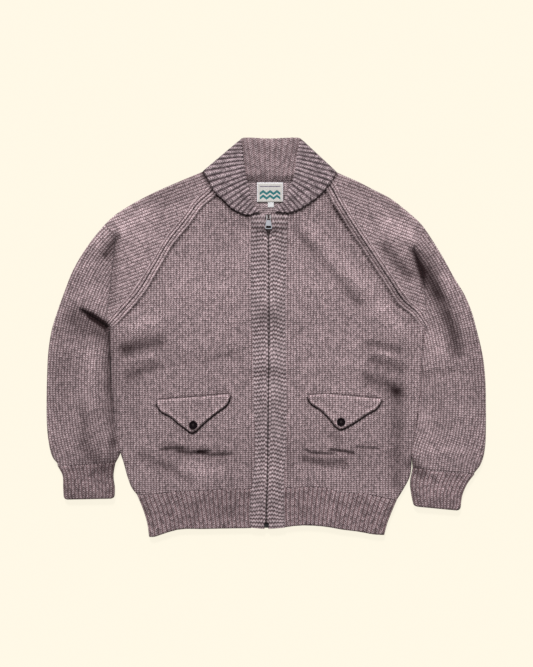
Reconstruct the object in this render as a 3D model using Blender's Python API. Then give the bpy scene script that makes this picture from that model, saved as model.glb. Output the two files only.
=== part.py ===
"""Zip-front shawl collar cardigan in thick knitted wool, laid flat on its back.

The tables are in millimetres and the meshes in metres. +Z is up from the surface that the
garment lies on, +Y runs towards the collar and +X is the viewer's right, which is the
wearer's left. Every cloth piece is a wall lofted from rows of points worked out from the
tables; the back lies on the surface, the fronts lie on the back, and the collar and the
pocket flaps lie on the fronts.
"""

import math
from collections import namedtuple

import bmesh
import bpy
import numpy as np

MM = 0.001
NAME = "shawl_collar_cardigan"

# Heights of the laid layers
KNIT = 4.0  # thickness of the knitted wall
MID = 5.5  # height of the side seams, half of the body's thickness
TOP = 2 * MID  # top of the fronts and of the sleeves
FRONT_UNDER = TOP - KNIT
GAP = 0.3  # between pieces that are sewn or laid together
SIDE_GAP = 0.6  # between a sleeve and the body beside it, measured along X
RAGLAN_GAP = 0.4  # along X, which leaves GAP across the slanting seam
BAND_GAP = 0.6  # between a front and its band, whose edges bend at different rows

# How a wall turns at a folded or seamed side: how far in from the side, and how far above or
# below MID, the outer and the inner face lie
Roll = namedtuple("Roll", "outer_in outer_up inner_in inner_up")
ROLL = [
    Roll(0.0, 0.15, 4.0, 0.15),
    Roll(2.2, 3.9, 4.9, 0.9),
    Roll(7.5, MID, 8.5, MID - KNIT),
]

# Rows of the body panels and sleeves, from the neck to the hem
ROW_YS = [290, 285.5, 273.5, 260.4, 248.4, 240.2, 235, 210, 183, 158, 133, 108, 83, 48, 23,
          -8, -48, -90, -127, -162, -217, -250, -290]
ARMPIT_Y = 23
FRONT_TOP_Y = 235  # where the neck seam meets the front band
BACK_TOP_Y = 298  # where the back neck seam meets the raglan seams
FRONT_COLUMNS = 7
BACK_COLUMNS = 7
SLEEVE_COLUMNS = 3

# Outlines, each a list of (y, x) from the hem up
RIGHT = {
    "band": [(-358, -29.4), (-334, -31.5), (-290, -29.0), (-250, -23.6), (-127, -23.6),
             (-48, -24.8), (48, -28.7), (235, -28.7)],
    "side": [(-296, -243.3), (-287, -250.5), (-264, -260.5), (-237, -268.0), (-217, -274.4),
             (-162, -284.0), (-127, -288.7), (-48, -293.0), (23, -295.0)],
    "raglan_front": [(23, -295.0), (48, -272.5), (83, -242.0), (133, -211.0), (183, -181.0),
                     (220, -151.0), (252, -127.0), (277, -100.0), (290, -93.5)],
    "raglan_back": [(23, -295.0), (83, -240.0), (183, -168.0), (250, -108.0), (298, -64.0)],
    "sleeve_fold": [(-242, -392.0), (-223, -403.0), (-196, -409.5), (-162, -412.6),
                    (-116, -413.2), (-71, -412.2), (-25, -409.8), (13.6, -403.6),
                    (48, -393.0), (84.5, -380.0), (125, -364.0), (160, -344.0),
                    (188.5, -323.5), (211, -304.5), (229, -285.5), (247.7, -257.0),
                    (274, -207.0), (292.4, -165.0), (307.5, -125.0)],
}
LEFT = {
    "band": [(-358, 35.3), (-290, 33.9), (-250, 35.3), (-127, 39.4), (-48, 38.2),
             (48, 36.8), (235, 41.8)],
    "side": [(-305, 246.5), (-283, 259.7), (-267, 268.2), (-219, 274.8), (-172.5, 281.5),
             (-139, 286.2), (-105, 290.9), (-39, 292.8), (23, 299.5)],
    "raglan_front": [(23, 299.5), (48, 281.5), (64, 262.5), (107, 232.0), (154, 201.0),
                     (199, 171.0), (248, 140.0), (284, 120.0), (290, 116.5)],
    "raglan_back": [(23, 299.5), (83, 252.0), (183, 182.0), (250, 123.0), (298, 79.0)],
    "sleeve_fold": [(-258, 391.0), (-253, 395.0), (-230, 407.0), (-203, 412.0),
                    (-173, 413.2), (-128, 413.2), (-82, 412.2), (-37, 407.6),
                    (13.6, 396.0), (52, 385.0), (78, 374.0), (113, 353.0), (150, 332.6),
                    (182, 313.0), (211, 293.0), (239, 262.5), (262, 232.0), (278, 201.0),
                    (293, 172.0), (306.0, 142.0)],
}

# The neck end of each sleeve: the two raglan ends and the fold between them, (x, y)
SLEEVE_TOP = {
    "right": {"front": (-95.5, 292.0), "fold": (-123.5, 308.3), "back": (-65.0, 298.5)},
    "left": {"front": (118.5, 292.0), "fold": (139.0, 307.3), "back": (80.0, 298.5)},
}

# Seams and edges that run across, each a list of (x, y)
HEM_SEAM = [(-250, -295.5), (-210.7, -294.7), (-160, -288.6), (-112, -287.0), (-45, -285.7),
            (39, -283.0), (120, -284.7), (139, -291.0), (186.6, -292.8), (230.8, -302.6),
            (250, -304.5)]
HEM_EDGE = [(-221, -375.2), (-213, -375.5), (-196, -370.5), (-173, -363.0), (-113, -360.4),
            (-31, -358.8), (33, -357.4), (56, -354.5), (120, -357.5), (139, -361.0),
            (177, -366.0), (202, -370.6), (222, -371.8)]
BACK_NECK = [(-66, BACK_TOP_Y), (-34, 293.0), (48, 293.0), (80, BACK_TOP_Y)]

# The hem's sides: share of the way down from its seam, and x on each side
HemRow = namedtuple("HemRow", "down right left")
HEM_ROWS = [
    HemRow(0.00, -243.3, 246.5),
    HemRow(0.38, -231.0, 235.8),
    HemRow(0.68, -224.0, 228.0),
    HemRow(1.00, -220.4, 222.0),
]
HEM_RIBS = 25

# The cuffs, from the seam down: the inner and the outer side
CuffRow = namedtuple("CuffRow", "in_x in_y out_x out_y")
CUFF_ROWS = {
    "right": [
        CuffRow(-283.4, -235.6, -392.0, -242.6),
        CuffRow(-287.0, -256.5, -384.0, -257.5),
        CuffRow(-284.5, -285.0, -382.0, -285.0),
        CuffRow(-285.5, -303.5, -380.8, -305.2),
    ],
    "left": [
        CuffRow(275.0, -245.6, 391.0, -258.6),
        CuffRow(270.6, -270.0, 380.0, -273.0),
        CuffRow(271.6, -289.0, 370.0, -294.0),
        CuffRow(277.5, -318.5, 365.0, -325.8),
    ],
}
CUFF_RIBS = 13
CUFF_UNDER_COLUMNS = 4

# Height of ribs above and below the wall's face
RIB_CREST = 0.9
RIB_VALLEY = -0.7

# Largest folds of the fronts and sleeves, as soft ridges (+) and troughs (-) along a line
Fold = namedtuple("Fold", "x0 y0 x1 y1 width height")
FOLDS = [
    Fold(-284, 192, -298, 55, 15, -2.0),
    Fold(-318, 168, -338, 70, 22, 3.2),
    Fold(-350, 53, -303, 21, 13, -2.2),
    Fold(-372, 20, -330, -30, 26, 2.6),
    Fold(-360, -110, -352, -200, 26, 1.8),
    Fold(279, 155, 296, 100, 12, -2.0),
    Fold(313, 99, 361, -2, 18, -2.2),
    Fold(306, 178, 384, 40, 20, 3.2),
    Fold(322, 15, 345, -120, 24, 2.4),
    Fold(-257, -12, -203, -36, 14, -1.8),
    Fold(-262, -50, -170, -62, 20, 2.0),
    Fold(-235, -66, -156, -84, 13, -1.6),
    Fold(193, -6, 227, -24, 12, -1.8),
    Fold(206, -28, 262, -41, 15, 2.4),
    Fold(199, -40, 261, -56, 10, -1.8),
    Fold(195, -80, 236, -95, 12, -1.6),
    Fold(56, 205, 171, 62, 16, -1.6),
    Fold(-60, 200, -150, 90, 24, 1.6),
    Fold(90, 190, 190, 100, 24, 1.6),
]

# Collar wings, from the zip up to the side crease: the inner fold, the neck seam, the free
# edge, and how far the fold rises over what is under it
Wing = namedtuple("Wing", "fold_x fold_y seam_x seam_y edge_x edge_y rise")
WINGS = {
    "right": [
        Wing(-9.3, 236.8, -26.0, 236.6, -22.5, 233.2, 0.0),
        Wing(-19.0, 243.0, -37.0, 240.2, -35.6, 230.0, 0.0),
        Wing(-28.5, 257.7, -52.0, 248.4, -61.0, 240.0, 0.3),
        Wing(-33.0, 281.7, -67.0, 260.4, -78.0, 255.5, 1.2),
        Wing(-37.5, 301.0, -79.0, 273.5, -91.0, 267.0, 3.2),
        Wing(-41.6, 323.7, -87.5, 285.5, -100.5, 279.0, 4.2),
        Wing(-44.0, 341.7, -91.0, 292.5, -109.0, 295.0, 4.2),
        Wing(-47.5, 371.0, -82.0, 303.6, -119.0, 311.5, 4.2),
    ],
    "left": [
        Wing(14.0, 237.3, 33.0, 238.0, 28.0, 235.0, 0.0),
        Wing(23.0, 246.0, 48.0, 240.2, 45.0, 234.6, 0.0),
        Wing(33.6, 257.7, 65.0, 248.4, 66.0, 242.5, 0.3),
        Wing(44.0, 281.7, 84.0, 260.4, 88.0, 256.8, 1.2),
        Wing(52.0, 301.0, 98.0, 273.5, 102.0, 268.5, 3.2),
        Wing(56.0, 323.7, 109.0, 285.5, 114.0, 281.0, 4.2),
        Wing(58.0, 341.7, 112.5, 292.5, 122.0, 291.5, 4.2),
        Wing(64.0, 371.0, 98.0, 303.6, 132.0, 310.0, 4.2),
    ],
}
WING_RIBS = 17
BACK_STATIONS = [
    Wing(-51.5, 370.0, -60.0, 298.8, -118.0, 314.0, 0.0),
    Wing(-43.0, 375.5, -34.0, 294.6, -62.0, 307.5, 0.0),
    Wing(7.0, 374.2, 7.0, 293.6, 7.0, 307.0, 0.0),
    Wing(61.0, 375.5, 48.0, 294.6, 78.0, 307.5, 0.0),
    Wing(68.5, 371.0, 74.0, 298.8, 131.0, 313.0, 0.0),
]
STAND_RIBS = 21
STAND_CREST = 0.5
STAND_VALLEY = -0.4

# Section of a folded collar wall, from one end round the fold to the other: the leg that a
# point lies on, its share of that leg, millimetres further from the fold, and its height
Pin = namedtuple("Pin", "leg share outer_mm outer_z inner_mm inner_z ribbed")
WING_SECTION = [
    Pin("edge", 1.0, 0.0, 12.6, 0.0, 11.3, False),
    Pin("edge", 1.0, -2.5, 15.0, -2.5, 11.3, True),
    Pin("edge", 0.5, 0.0, 15.5, 0.0, 11.4, True),
    Pin("edge", 0.0, 8.0, 16.2, 8.0, 12.0, True),
    Pin("edge", 0.0, 2.0, 15.2, 4.6, 12.1, True),
    Pin("edge", 0.0, 0.0, 12.0, 4.2, 11.6, False),
    Pin("seam", 0.0, 1.8, 8.2, 4.6, 11.1, False),
    Pin("seam", 0.0, 6.0, 7.0, 6.0, 11.0, False),
    Pin("seam", 1.0, 0.0, 7.0, 0.0, 11.0, False),
]
STAND_SECTION = [
    Pin("seam", 1.0, 0.0, 4.6, 0.0, 0.6, True),
    Pin("seam", 1.0, -13.0, 8.3, -13.0, 4.4, True),
    Pin("seam", 0.5, 0.0, 8.6, 0.0, 4.6, True),
    Pin("seam", 0.0, 8.0, 9.0, 8.0, 5.0, True),
    Pin("seam", 0.0, 2.0, 8.2, 4.8, 4.9, True),
    Pin("seam", 0.0, 0.0, 4.6, 4.4, 4.5, False),
    Pin("edge", 0.0, 1.8, 1.2, 4.8, 4.1, False),
    Pin("edge", 0.0, 6.0, 0.0, 6.0, 4.0, False),
    Pin("edge", 1.0, 0.0, 0.0, 0.0, 4.0, False),
]
FOLD_FITS = 24.0  # a leg shorter than this has its fold drawn smaller

# Pocket flaps: across, the top edge and the lower edge
Flap = namedtuple("Flap", "x top bottom")
FLAPS = {
    "right": [
        Flap(-205.0, -118.0, -128.0), Flap(-202.0, -117.7, -134.5), Flap(-195.6, -117.2, -141.0),
        Flap(-180.0, -116.0, -149.0), Flap(-165.0, -114.8, -162.0), Flap(-151.0, -113.7, -172.5),
        Flap(-144.0, -113.1, -178.0), Flap(-139.6, -112.8, -179.6), Flap(-134.0, -112.3, -177.6),
        Flap(-128.0, -111.8, -172.5), Flap(-115.0, -110.8, -159.5), Flap(-93.5, -109.1, -142.0),
        Flap(-75.5, -107.6, -129.5), Flap(-69.5, -107.2, -120.0), Flap(-67.6, -107.0, -112.0),
    ],
    "left": [
        Flap(79.0, -109.0, -116.0), Flap(81.0, -108.8, -121.5), Flap(86.4, -108.4, -127.0),
        Flap(102.0, -107.0, -136.0), Flap(116.7, -106.3, -151.0), Flap(129.4, -107.8, -167.0),
        Flap(135.0, -108.3, -171.6), Flap(139.6, -108.8, -173.2), Flap(145.0, -109.3, -171.8),
        Flap(152.6, -110.1, -168.0), Flap(167.0, -111.6, -159.5), Flap(188.5, -113.6, -145.0),
        Flap(206.0, -115.3, -135.5), Flap(213.5, -115.9, -126.0), Flap(215.7, -116.0, -121.0),
    ],
}
FLAP_THICK = 3.4
FLAP_ROWS = (0.0, 0.12, 0.5, 0.88, 1.0)  # share of the way from the top edge to the lower

# Buttons on the flaps
BUTTONS = {"right": (-137.0, -164.6), "left": (140.3, -158.8)}
BUTTON_RADIUS = 7.9
BUTTON_THICK = 3.0
BUTTON_HOLE = 1.0
BUTTON_HOLE_OFF = 2.0
BUTTON_SIDES = 28

# Zip: the line it closes on, as (y, x), and half the opening between the bands
ZIP_LINE = [(-358, 0.3), (-335, 0.1), (-298, 1.4), (-227, 2.9), (-156, 3.7), (57, 5.2),
            (200, 4.4), (236, 4.3)]
BAND_OPEN = [(-358, 4.9), (-350, 4.9), (-346, 1.2), (196, 1.2), (214, 4.9), (235, 4.9)]
BAND_PITCH = 7.7  # from one ridge to the next
BAND_CREST = 12.1
BAND_VALLEY = 10.3
BAND_SLANT = -2.2  # the ridges run down towards the zip
BAND_FOOT_Y = -357.6
TAPE_WIDTH = 13.0
TAPE_THICK = 1.0
TAPE_Z = 5.6
TAPE_YS = (-350.5, -227, -60, 57, 200, 231)
BOX_SIZE = (8.0, 6.0, 4.4)
BOX_CENTRE = (0.4, -354.2, 7.8)

SLIDER_SIZE = (8.4, 11.5, 4.5)
SLIDER_Y = 223.8
SLIDER_Z = 6.9
HINGE_Y = 221.5
HINGE_Z = 13.6
LUG_WIDTH = 2.6
LUG_RADIUS = 1.6
PIN_RADIUS = 0.7
PIN_LENGTH = 5.8
TAB_THICK = 1.2
TAB_EAR = 1.3
TAB_EAR_RADIUS = 1.9
TAB_START = 2.1  # from the hinge to the plate
TAB_END = 17.0  # from the hinge to the tab's tip
TAB_TOP_WIDTH = 8.0
TAB_FOOT_WIDTH = 13.6
TAB_SLOT = (7.0, 1.8)
TAB_SLOT_AT = 14.2

LABEL_CENTRE = (7.2, 272.6)
LABEL_SIZE = (48.9, 36.8)
LABEL_THICK = 0.6
SIZE_TAB_CENTRE = (8.7, 249.0)
SIZE_TAB_SIZE = (11.3, 9.4)

# Colours, as Blender's linear values
WOOL = (0.265, 0.212, 0.205, 1.0)
BUTTON_BROWN = (0.020, 0.010, 0.014, 1.0)
ZIP_METAL = (0.47, 0.50, 0.53, 1.0)
ZIP_BLACK = (0.012, 0.011, 0.012, 1.0)
LABEL_CREAM = (0.80, 0.77, 0.70, 1.0)


def material(name, colour, roughness, metallic=0.0):
    mat = bpy.data.materials.new(name)
    mat.use_nodes = True
    shader = mat.node_tree.nodes["Principled BSDF"]
    shader.inputs["Base Color"].default_value = colour
    shader.inputs["Roughness"].default_value = roughness
    shader.inputs["Metallic"].default_value = metallic
    mat.diffuse_color = colour
    return mat


def wool(name):
    return material(name + "_wool", WOOL, 0.95)


def add_object(name, mesh, mat, collection):
    obj = bpy.data.objects.new(name, mesh)
    obj.data.materials.append(mat)
    collection.objects.link(obj)
    return obj


def wall(name, outer, inner, mat, collection, ring=False):
    """A closed wall between two faces, each given as rows of (x, y, z) points."""
    rows = len(outer)
    columns = len(outer[0])
    bm = bmesh.new()
    faces = []
    for grid in (outer, inner):
        faces.append([[bm.verts.new([c * MM for c in p]) for p in row] for row in grid])
    spans = columns if ring else columns - 1
    for face in faces:
        for r in range(rows - 1):
            for c in range(spans):
                d = (c + 1) % columns
                bm.faces.new((face[r][c], face[r][d], face[r + 1][d], face[r + 1][c]))
    out, inn = faces
    for r in (0, rows - 1):
        for c in range(spans):
            d = (c + 1) % columns
            bm.faces.new((out[r][c], out[r][d], inn[r][d], inn[r][c]))
    if not ring:
        for c in (0, columns - 1):
            for r in range(rows - 1):
                bm.faces.new((out[r][c], out[r + 1][c], inn[r + 1][c], inn[r][c]))
    bmesh.ops.triangulate(bm, faces=bm.faces[:])
    bmesh.ops.recalc_face_normals(bm, faces=bm.faces[:])
    mesh = bpy.data.meshes.new(name)
    bm.to_mesh(mesh)
    bm.free()
    return add_object(name, mesh, mat, collection)


def at(curve, place):
    """The second value of a curve of pairs where the first is place."""
    keys = [pair[0] for pair in curve]
    values = [pair[1] for pair in curve]
    return float(np.interp(place, keys, values))


def relief(x, y):
    """Height of the largest folds over the flat top of a front or a sleeve."""
    height = 0.0
    for fold in FOLDS:
        along_x = fold.x1 - fold.x0
        along_y = fold.y1 - fold.y0
        share = ((x - fold.x0) * along_x + (y - fold.y0) * along_y)
        share = min(1.0, max(0.0, share / (along_x ** 2 + along_y ** 2)))
        off = math.hypot(x - fold.x0 - share * along_x, y - fold.y0 - share * along_y)
        height += fold.height * math.exp(-((off / fold.width) ** 2))
    return max(height, -2.4)


def neck_edge(side, y):
    """Where the front's inner edge lies: at the band, and above it at the neck seam."""
    outward = -1 if side == "right" else 1
    outline = RIGHT if side == "right" else LEFT
    if y <= FRONT_TOP_Y:
        return at(outline["band"], y)
    seam = [(FRONT_TOP_Y, at(outline["band"], FRONT_TOP_Y))]
    seam += [(w.seam_y, w.seam_x + outward * SIDE_GAP) for w in WINGS[side][1:7]]
    return at(seam, y)


def body_edge(side, y, raglan):
    outline = RIGHT if side == "right" else LEFT
    return at(outline["side"], y) if y <= ARMPIT_Y else at(outline[raglan], y)


def leaf(x_in, x_out, flats, roll_in, roll_out, slant=1.0):
    """One row of a leaf as (outer x, outer up, inner x, inner up) columns, from x_in to x_out.

    roll_in and roll_out are 1 where that side turns to the seam plane and 0 where it is cut
    square; None leaves one plain column there. slant widens the turn where the outline runs
    across the row.
    """
    way = 1 if x_out > x_in else -1
    most = 0.42 * abs(x_out - x_in) / ROLL[-1].inner_in
    step_in = way * min(1.0, most)
    step_out = -way * min(slant, most)

    def turned(x, step, roll, amount):
        flat_x = x + step * roll.outer_in
        return (
            flat_x,
            MID + (roll.outer_up - MID) * amount,
            flat_x + step * (roll.inner_in - roll.outer_in) * amount,
            MID - KNIT + (roll.inner_up - MID + KNIT) * amount,
        )

    first = [turned(x_in, step_in, roll, roll_in) for roll in ROLL] if roll_in is not None else []
    last = [turned(x_out, step_out, roll, roll_out) for roll in reversed(ROLL)]
    start = first[-1][0] if first else x_in
    end = last[0][0]
    begin = 1 if first else 0
    middle = []
    for k in range(begin, flats + 1):
        x = start + (end - start) * k / (flats + 1)
        middle.append((x, MID, x, MID - KNIT))
    return first + middle + last


def upper(column, y_of_x):
    """The outer and inner points of a column of an upper leaf, with the large folds on."""
    x, up, inner_x, inner_up = column
    lift = relief(x, y_of_x(x)) * max(0.0, (up - 0.15) / MID)
    outer = (x, y_of_x(x), MID + up + lift)
    inner = (inner_x, y_of_x(inner_x), MID + inner_up + lift * max(0.0, inner_up / MID))
    return outer, inner


def lower(column, y_of_x):
    x, up, inner_x, inner_up = column
    return (x, y_of_x(x), MID - up), (inner_x, y_of_x(inner_x), MID - inner_up)


def body_row(y):
    """The y of a row's points: level, except that the last row follows the hem seam."""
    if y == ROW_YS[-1]:
        return lambda x: at(HEM_SEAM, x)
    return lambda x: y


def seam_y(side, y):
    """Where a row meets the side: the last one ends at the hem seam."""
    outline = RIGHT if side == "right" else LEFT
    return outline["side"][0][0] if y == ROW_YS[-1] else y


def front(side, collection):
    name = "front_" + side
    toward_side = -1 if side == "right" else 1
    outer_rows = []
    inner_rows = []
    for y in ROW_YS:
        turn = 1.0 if y <= ARMPIT_Y else 0.0
        x_in = neck_edge(side, y) + toward_side * BAND_GAP
        x_out = body_edge(side, seam_y(side, y), "raglan_front")
        columns = leaf(x_in, x_out, FRONT_COLUMNS, None, turn)
        points = [upper(column, body_row(y)) for column in columns]
        outer_rows.append([p[0] for p in points])
        inner_rows.append([p[1] for p in points])
    return wall(name, outer_rows, inner_rows, wool(name), collection)


def back(collection):
    """The back panel: the rows share their sides with the fronts, up to the back neck."""
    outer_rows = []
    inner_rows = []
    for y in [BACK_TOP_Y] + ROW_YS:
        turn = 1.0 if y <= ARMPIT_Y else 0.0
        x_in = body_edge("right", seam_y("right", y), "raglan_back")
        x_out = body_edge("left", seam_y("left", y), "raglan_back")
        y_of_x = (lambda x: at(BACK_NECK, x)) if y == BACK_TOP_Y else body_row(y)
        points = [lower(c, y_of_x) for c in leaf(x_in, x_out, BACK_COLUMNS, turn, turn)]
        outer_rows.append([p[0] for p in points])
        inner_rows.append([p[1] for p in points])
    return wall("back_panel", outer_rows, inner_rows, wool("back_panel"), collection)


def line(start, end):
    """y along the straight line between two (x, y) points."""
    return lambda x: start[1] + (end[1] - start[1]) * (x - start[0]) / (end[0] - start[0])


def sleeve(side, collection):
    """A sleeve as one wall: front edge, upper leaf, outer fold, lower leaf, back edge."""
    name = "sleeve_" + side
    outline = RIGHT if side == "right" else LEFT
    away = -1 if side == "right" else 1
    cuff = CUFF_ROWS[side][0]
    top = SLEEVE_TOP[side]
    rows = ["neck"] + [y for y in ROW_YS if y > cuff.in_y + 10] + ["cuff"]
    outer_rows = []
    inner_rows = []
    for y in rows:
        slant = 1.0
        if y == "neck":
            front_x, back_x, fold_x = top["front"][0], top["back"][0], top["fold"][0]
            y_front = line(top["front"], top["fold"])
            y_back = line(top["back"], top["fold"])
            turn = 0.0
        elif y == "cuff":
            front_x = back_x = cuff.in_x
            fold_x = cuff.out_x
            y_front = y_back = line((cuff.in_x, cuff.in_y + GAP), (cuff.out_x, cuff.out_y + GAP))
            turn = 1.0
        else:
            gap = away * (RAGLAN_GAP if y > ARMPIT_Y else SIDE_GAP)
            front_x = body_edge(side, y, "raglan_front") + gap
            back_x = body_edge(side, y, "raglan_back") + gap
            fold_x = at(outline["sleeve_fold"], y)
            run = at(outline["sleeve_fold"], y + 8) - at(outline["sleeve_fold"], y - 8)
            slant = math.hypot(16, run) / 16
            y_front = y_back = body_row(y)
            turn = 1.0 if y <= ARMPIT_Y else 0.0
        up = leaf(front_x, fold_x, SLEEVE_COLUMNS, turn, 1.0, slant)
        down = leaf(back_x, fold_x, SLEEVE_COLUMNS, turn, 1.0, slant)
        fold = up[-1]
        fold_points = [((fold[0], y_front(fold[0]), MID), (fold[2], y_front(fold[2]), MID))]
        points = [upper(c, y_front) for c in up[:-1]] + fold_points
        points += [lower(c, y_back) for c in reversed(down[:-1])]
        outer_rows.append([p[0] for p in points])
        inner_rows.append([p[1] for p in points])
    return wall(name, outer_rows, inner_rows, wool(name), collection)


def rib_columns(x_in, x_out, ribs):
    """x and height of rib crests and valleys evenly from x_in to x_out."""
    count = 2 * ribs
    return [
        (x_in + (x_out - x_in) * k / count, RIB_CREST if k % 2 else RIB_VALLEY)
        for k in range(count + 1)
    ]


def hem_seam(side):
    """(x, y) of the points in which a front or the back ends at its hem."""
    ends = HEM_ROWS[0]
    if side == "back":
        columns = leaf(ends.right, ends.left, BACK_COLUMNS, 1.0, 1.0)
    else:
        toward_side = -1 if side == "right" else 1
        x_in = neck_edge(side, ROW_YS[-1]) + toward_side * BAND_GAP
        columns = leaf(x_in, getattr(ends, side), FRONT_COLUMNS, None, 1.0)
    return sorted((column[0], at(HEM_SEAM, column[0])) for column in columns)


def hem_y(seam, down):
    """y across the hem at a share of the way down from its seam to its edge."""
    return lambda x: (at(seam, x) - GAP) * (1 - down) + at(HEM_EDGE, x) * down


def hem_front(side, collection):
    name = "hem_front_" + side
    outline = RIGHT if side == "right" else LEFT
    toward_side = -1 if side == "right" else 1
    seam = hem_seam(side)
    outer_rows = []
    inner_rows = []
    for row in HEM_ROWS:
        x_out = getattr(row, side)
        band_y = at(HEM_SEAM, 0) + (at(HEM_EDGE, 0) - at(HEM_SEAM, 0)) * row.down
        x_in = at(outline["band"], band_y) + toward_side * BAND_GAP
        y_of_x = hem_y(seam, row.down)
        rib_end = x_out - toward_side * ROLL[1].outer_in * 2
        outer = [(x, y_of_x(x), TOP + up) for x, up in rib_columns(x_in, rib_end, HEM_RIBS)]
        inner = [(p[0], p[1], FRONT_UNDER) for p in outer]
        inner[-1] = (inner[-1][0] - toward_side * 2.6, inner[-1][1], FRONT_UNDER)
        for roll in reversed(ROLL[:2]):
            x = x_out - toward_side * roll.outer_in
            inner_x = x_out - toward_side * roll.inner_in
            outer.append((x, y_of_x(x), MID + roll.outer_up))
            inner.append((inner_x, y_of_x(inner_x), MID + roll.inner_up))
        outer_rows.append(outer)
        inner_rows.append(inner)
    return wall(name, outer_rows, inner_rows, wool(name), collection)


def hem_back(collection):
    outer_rows = []
    inner_rows = []
    seam = hem_seam("back")
    for row in HEM_ROWS:
        columns = leaf(row.right, row.left, BACK_COLUMNS, 1.0, 1.0)
        points = [lower(column, hem_y(seam, row.down)) for column in columns]
        outer_rows.append([p[0] for p in points])
        inner_rows.append([p[1] for p in points])
    return wall("hem_back", outer_rows, inner_rows, wool("hem_back"), collection)


def cuff(side, collection):
    """A cuff as a tube: ribs on its upper face, flat where it rests."""
    name = "cuff_" + side
    away = -1 if side == "right" else 1
    turn = ROLL[1]
    outer_rows = []
    inner_rows = []
    for row in CUFF_ROWS[side]:
        y_of_x = line((row.in_x, row.in_y), (row.out_x, row.out_y))
        x_a = row.in_x + away * turn.outer_in * 2
        x_b = row.out_x - away * turn.outer_in * 2
        ends = {
            "in": (row.in_x, away),
            "out": (row.out_x, -away),
        }

        def side_column(end, up, inner_up, inset, inner_inset):
            x, step = ends[end]
            outer_x = x + step * inset
            inner_x = x + step * inner_inset
            return ((outer_x, y_of_x(outer_x), MID + up), (inner_x, y_of_x(inner_x), MID + inner_up))

        ring = [side_column("in", 0, 0, 0, KNIT)]
        ring.append(side_column("in", turn.outer_up, turn.inner_up, turn.outer_in, turn.inner_in))
        for x, up in rib_columns(x_a, x_b, CUFF_RIBS):
            inner_x = min(max(x, min(row.in_x, row.out_x) + 6), max(row.in_x, row.out_x) - 6)
            ring.append(((x, y_of_x(x), TOP + up), (inner_x, y_of_x(inner_x), FRONT_UNDER)))
        ring.append(side_column("out", turn.outer_up, turn.inner_up, turn.outer_in, turn.inner_in))
        ring.append(side_column("out", 0, 0, 0, KNIT))
        ring.append(side_column("out", -turn.outer_up, -turn.inner_up, turn.outer_in, turn.inner_in))
        for k in range(CUFF_UNDER_COLUMNS + 1):
            inset = ROLL[-1].outer_in * away
            x = row.out_x - inset + (row.in_x - row.out_x + 2 * inset) * k / CUFF_UNDER_COLUMNS
            ring.append(((x, y_of_x(x), 0.0), (x, y_of_x(x), KNIT)))
        ring.append(side_column("in", -turn.outer_up, -turn.inner_up, turn.outer_in, turn.inner_in))
        outer_rows.append([p[0] for p in ring])
        inner_rows.append([p[1] for p in ring])
    return wall(name, outer_rows, inner_rows, wool(name), collection, ring=True)


def stations(table, count):
    """count + 1 rows evenly along the free edges and folds of a table of wings."""
    middles = [((w.fold_x + w.edge_x) / 2, (w.fold_y + w.edge_y) / 2) for w in table]
    run = [0.0]
    for a, b in zip(middles, middles[1:]):
        run.append(run[-1] + math.hypot(b[0] - a[0], b[1] - a[1]))
    rows = []
    for k in range(count + 1):
        place = run[-1] * k / count
        rows.append(Wing(*[float(np.interp(place, run, column)) for column in zip(*table)]))
    return rows


def collar_piece(name, table, section, ribs, crest, valley, collection):
    """A folded collar wall: every other station is a rib's crest."""
    outer_rows = []
    inner_rows = []
    for k, w in enumerate(stations(table, 2 * ribs)):
        ends = {"edge": (w.edge_x, w.edge_y), "seam": (w.seam_x, w.seam_y)}
        outer = []
        inner = []
        for pin in section:
            end = ends[pin.leg]
            length = math.hypot(end[0] - w.fold_x, end[1] - w.fold_y)
            fit = min(1.0, length / FOLD_FITS)
            rib = (crest if k % 2 else valley) if pin.ribbed else 0.0
            for grid, mm, z in ((outer, pin.outer_mm, pin.outer_z + rib),
                                (inner, pin.inner_mm, pin.inner_z)):
                share = pin.share + mm * fit / length
                x = w.fold_x + (end[0] - w.fold_x) * share
                y = w.fold_y + (end[1] - w.fold_y) * share
                grid.append((x, y, z + w.rise * (1 - share)))
        outer_rows.append(outer)
        inner_rows.append(inner)
    return wall(name, outer_rows, inner_rows, wool(name), collection)


def placket(side, collection):
    """A front band beside the zip, with a row of points at each ridge and each groove."""
    name = "placket_" + side
    outline = RIGHT if side == "right" else LEFT
    toward_zip = 1 if side == "right" else -1
    first = BAND_FOOT_Y
    last = 229.6 if side == "right" else 231.2
    ridges = round((last - first) / BAND_PITCH)
    outer_rows = []
    inner_rows = []
    for k in range(2 * ridges + 1):
        y = first + (last - first) * k / (2 * ridges)
        z = BAND_CREST if k % 2 else BAND_VALLEY
        slant = BAND_SLANT * min(1.0, k / 4)
        if k == 2 * ridges:
            slant = 3.0
        inner_y = y + slant
        x_side = at(outline["band"], y)
        x_zip = at(ZIP_LINE, inner_y) - toward_zip * at(BAND_OPEN, inner_y)
        outer_rows.append([(x_side, y, z), (x_zip, inner_y, z)])
        inner_rows.append([(x_side, y, FRONT_UNDER), (x_zip, inner_y, FRONT_UNDER)])
    return wall(name, outer_rows, inner_rows, wool(name), collection)


def zip_tape(side, collection):
    name = "zip_tape_" + side
    away = -1 if side == "right" else 1
    outer_rows = []
    inner_rows = []
    for y in TAPE_YS:
        xs = (at(ZIP_LINE, y) + away * GAP / 2, at(ZIP_LINE, y) + away * TAPE_WIDTH)
        outer_rows.append([(x, y, TAPE_Z + TAPE_THICK) for x in xs])
        inner_rows.append([(x, y, TAPE_Z) for x in xs])
    mat = material(name + "_cloth", ZIP_BLACK, 0.85)
    return wall(name, outer_rows, inner_rows, mat, collection)


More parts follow.
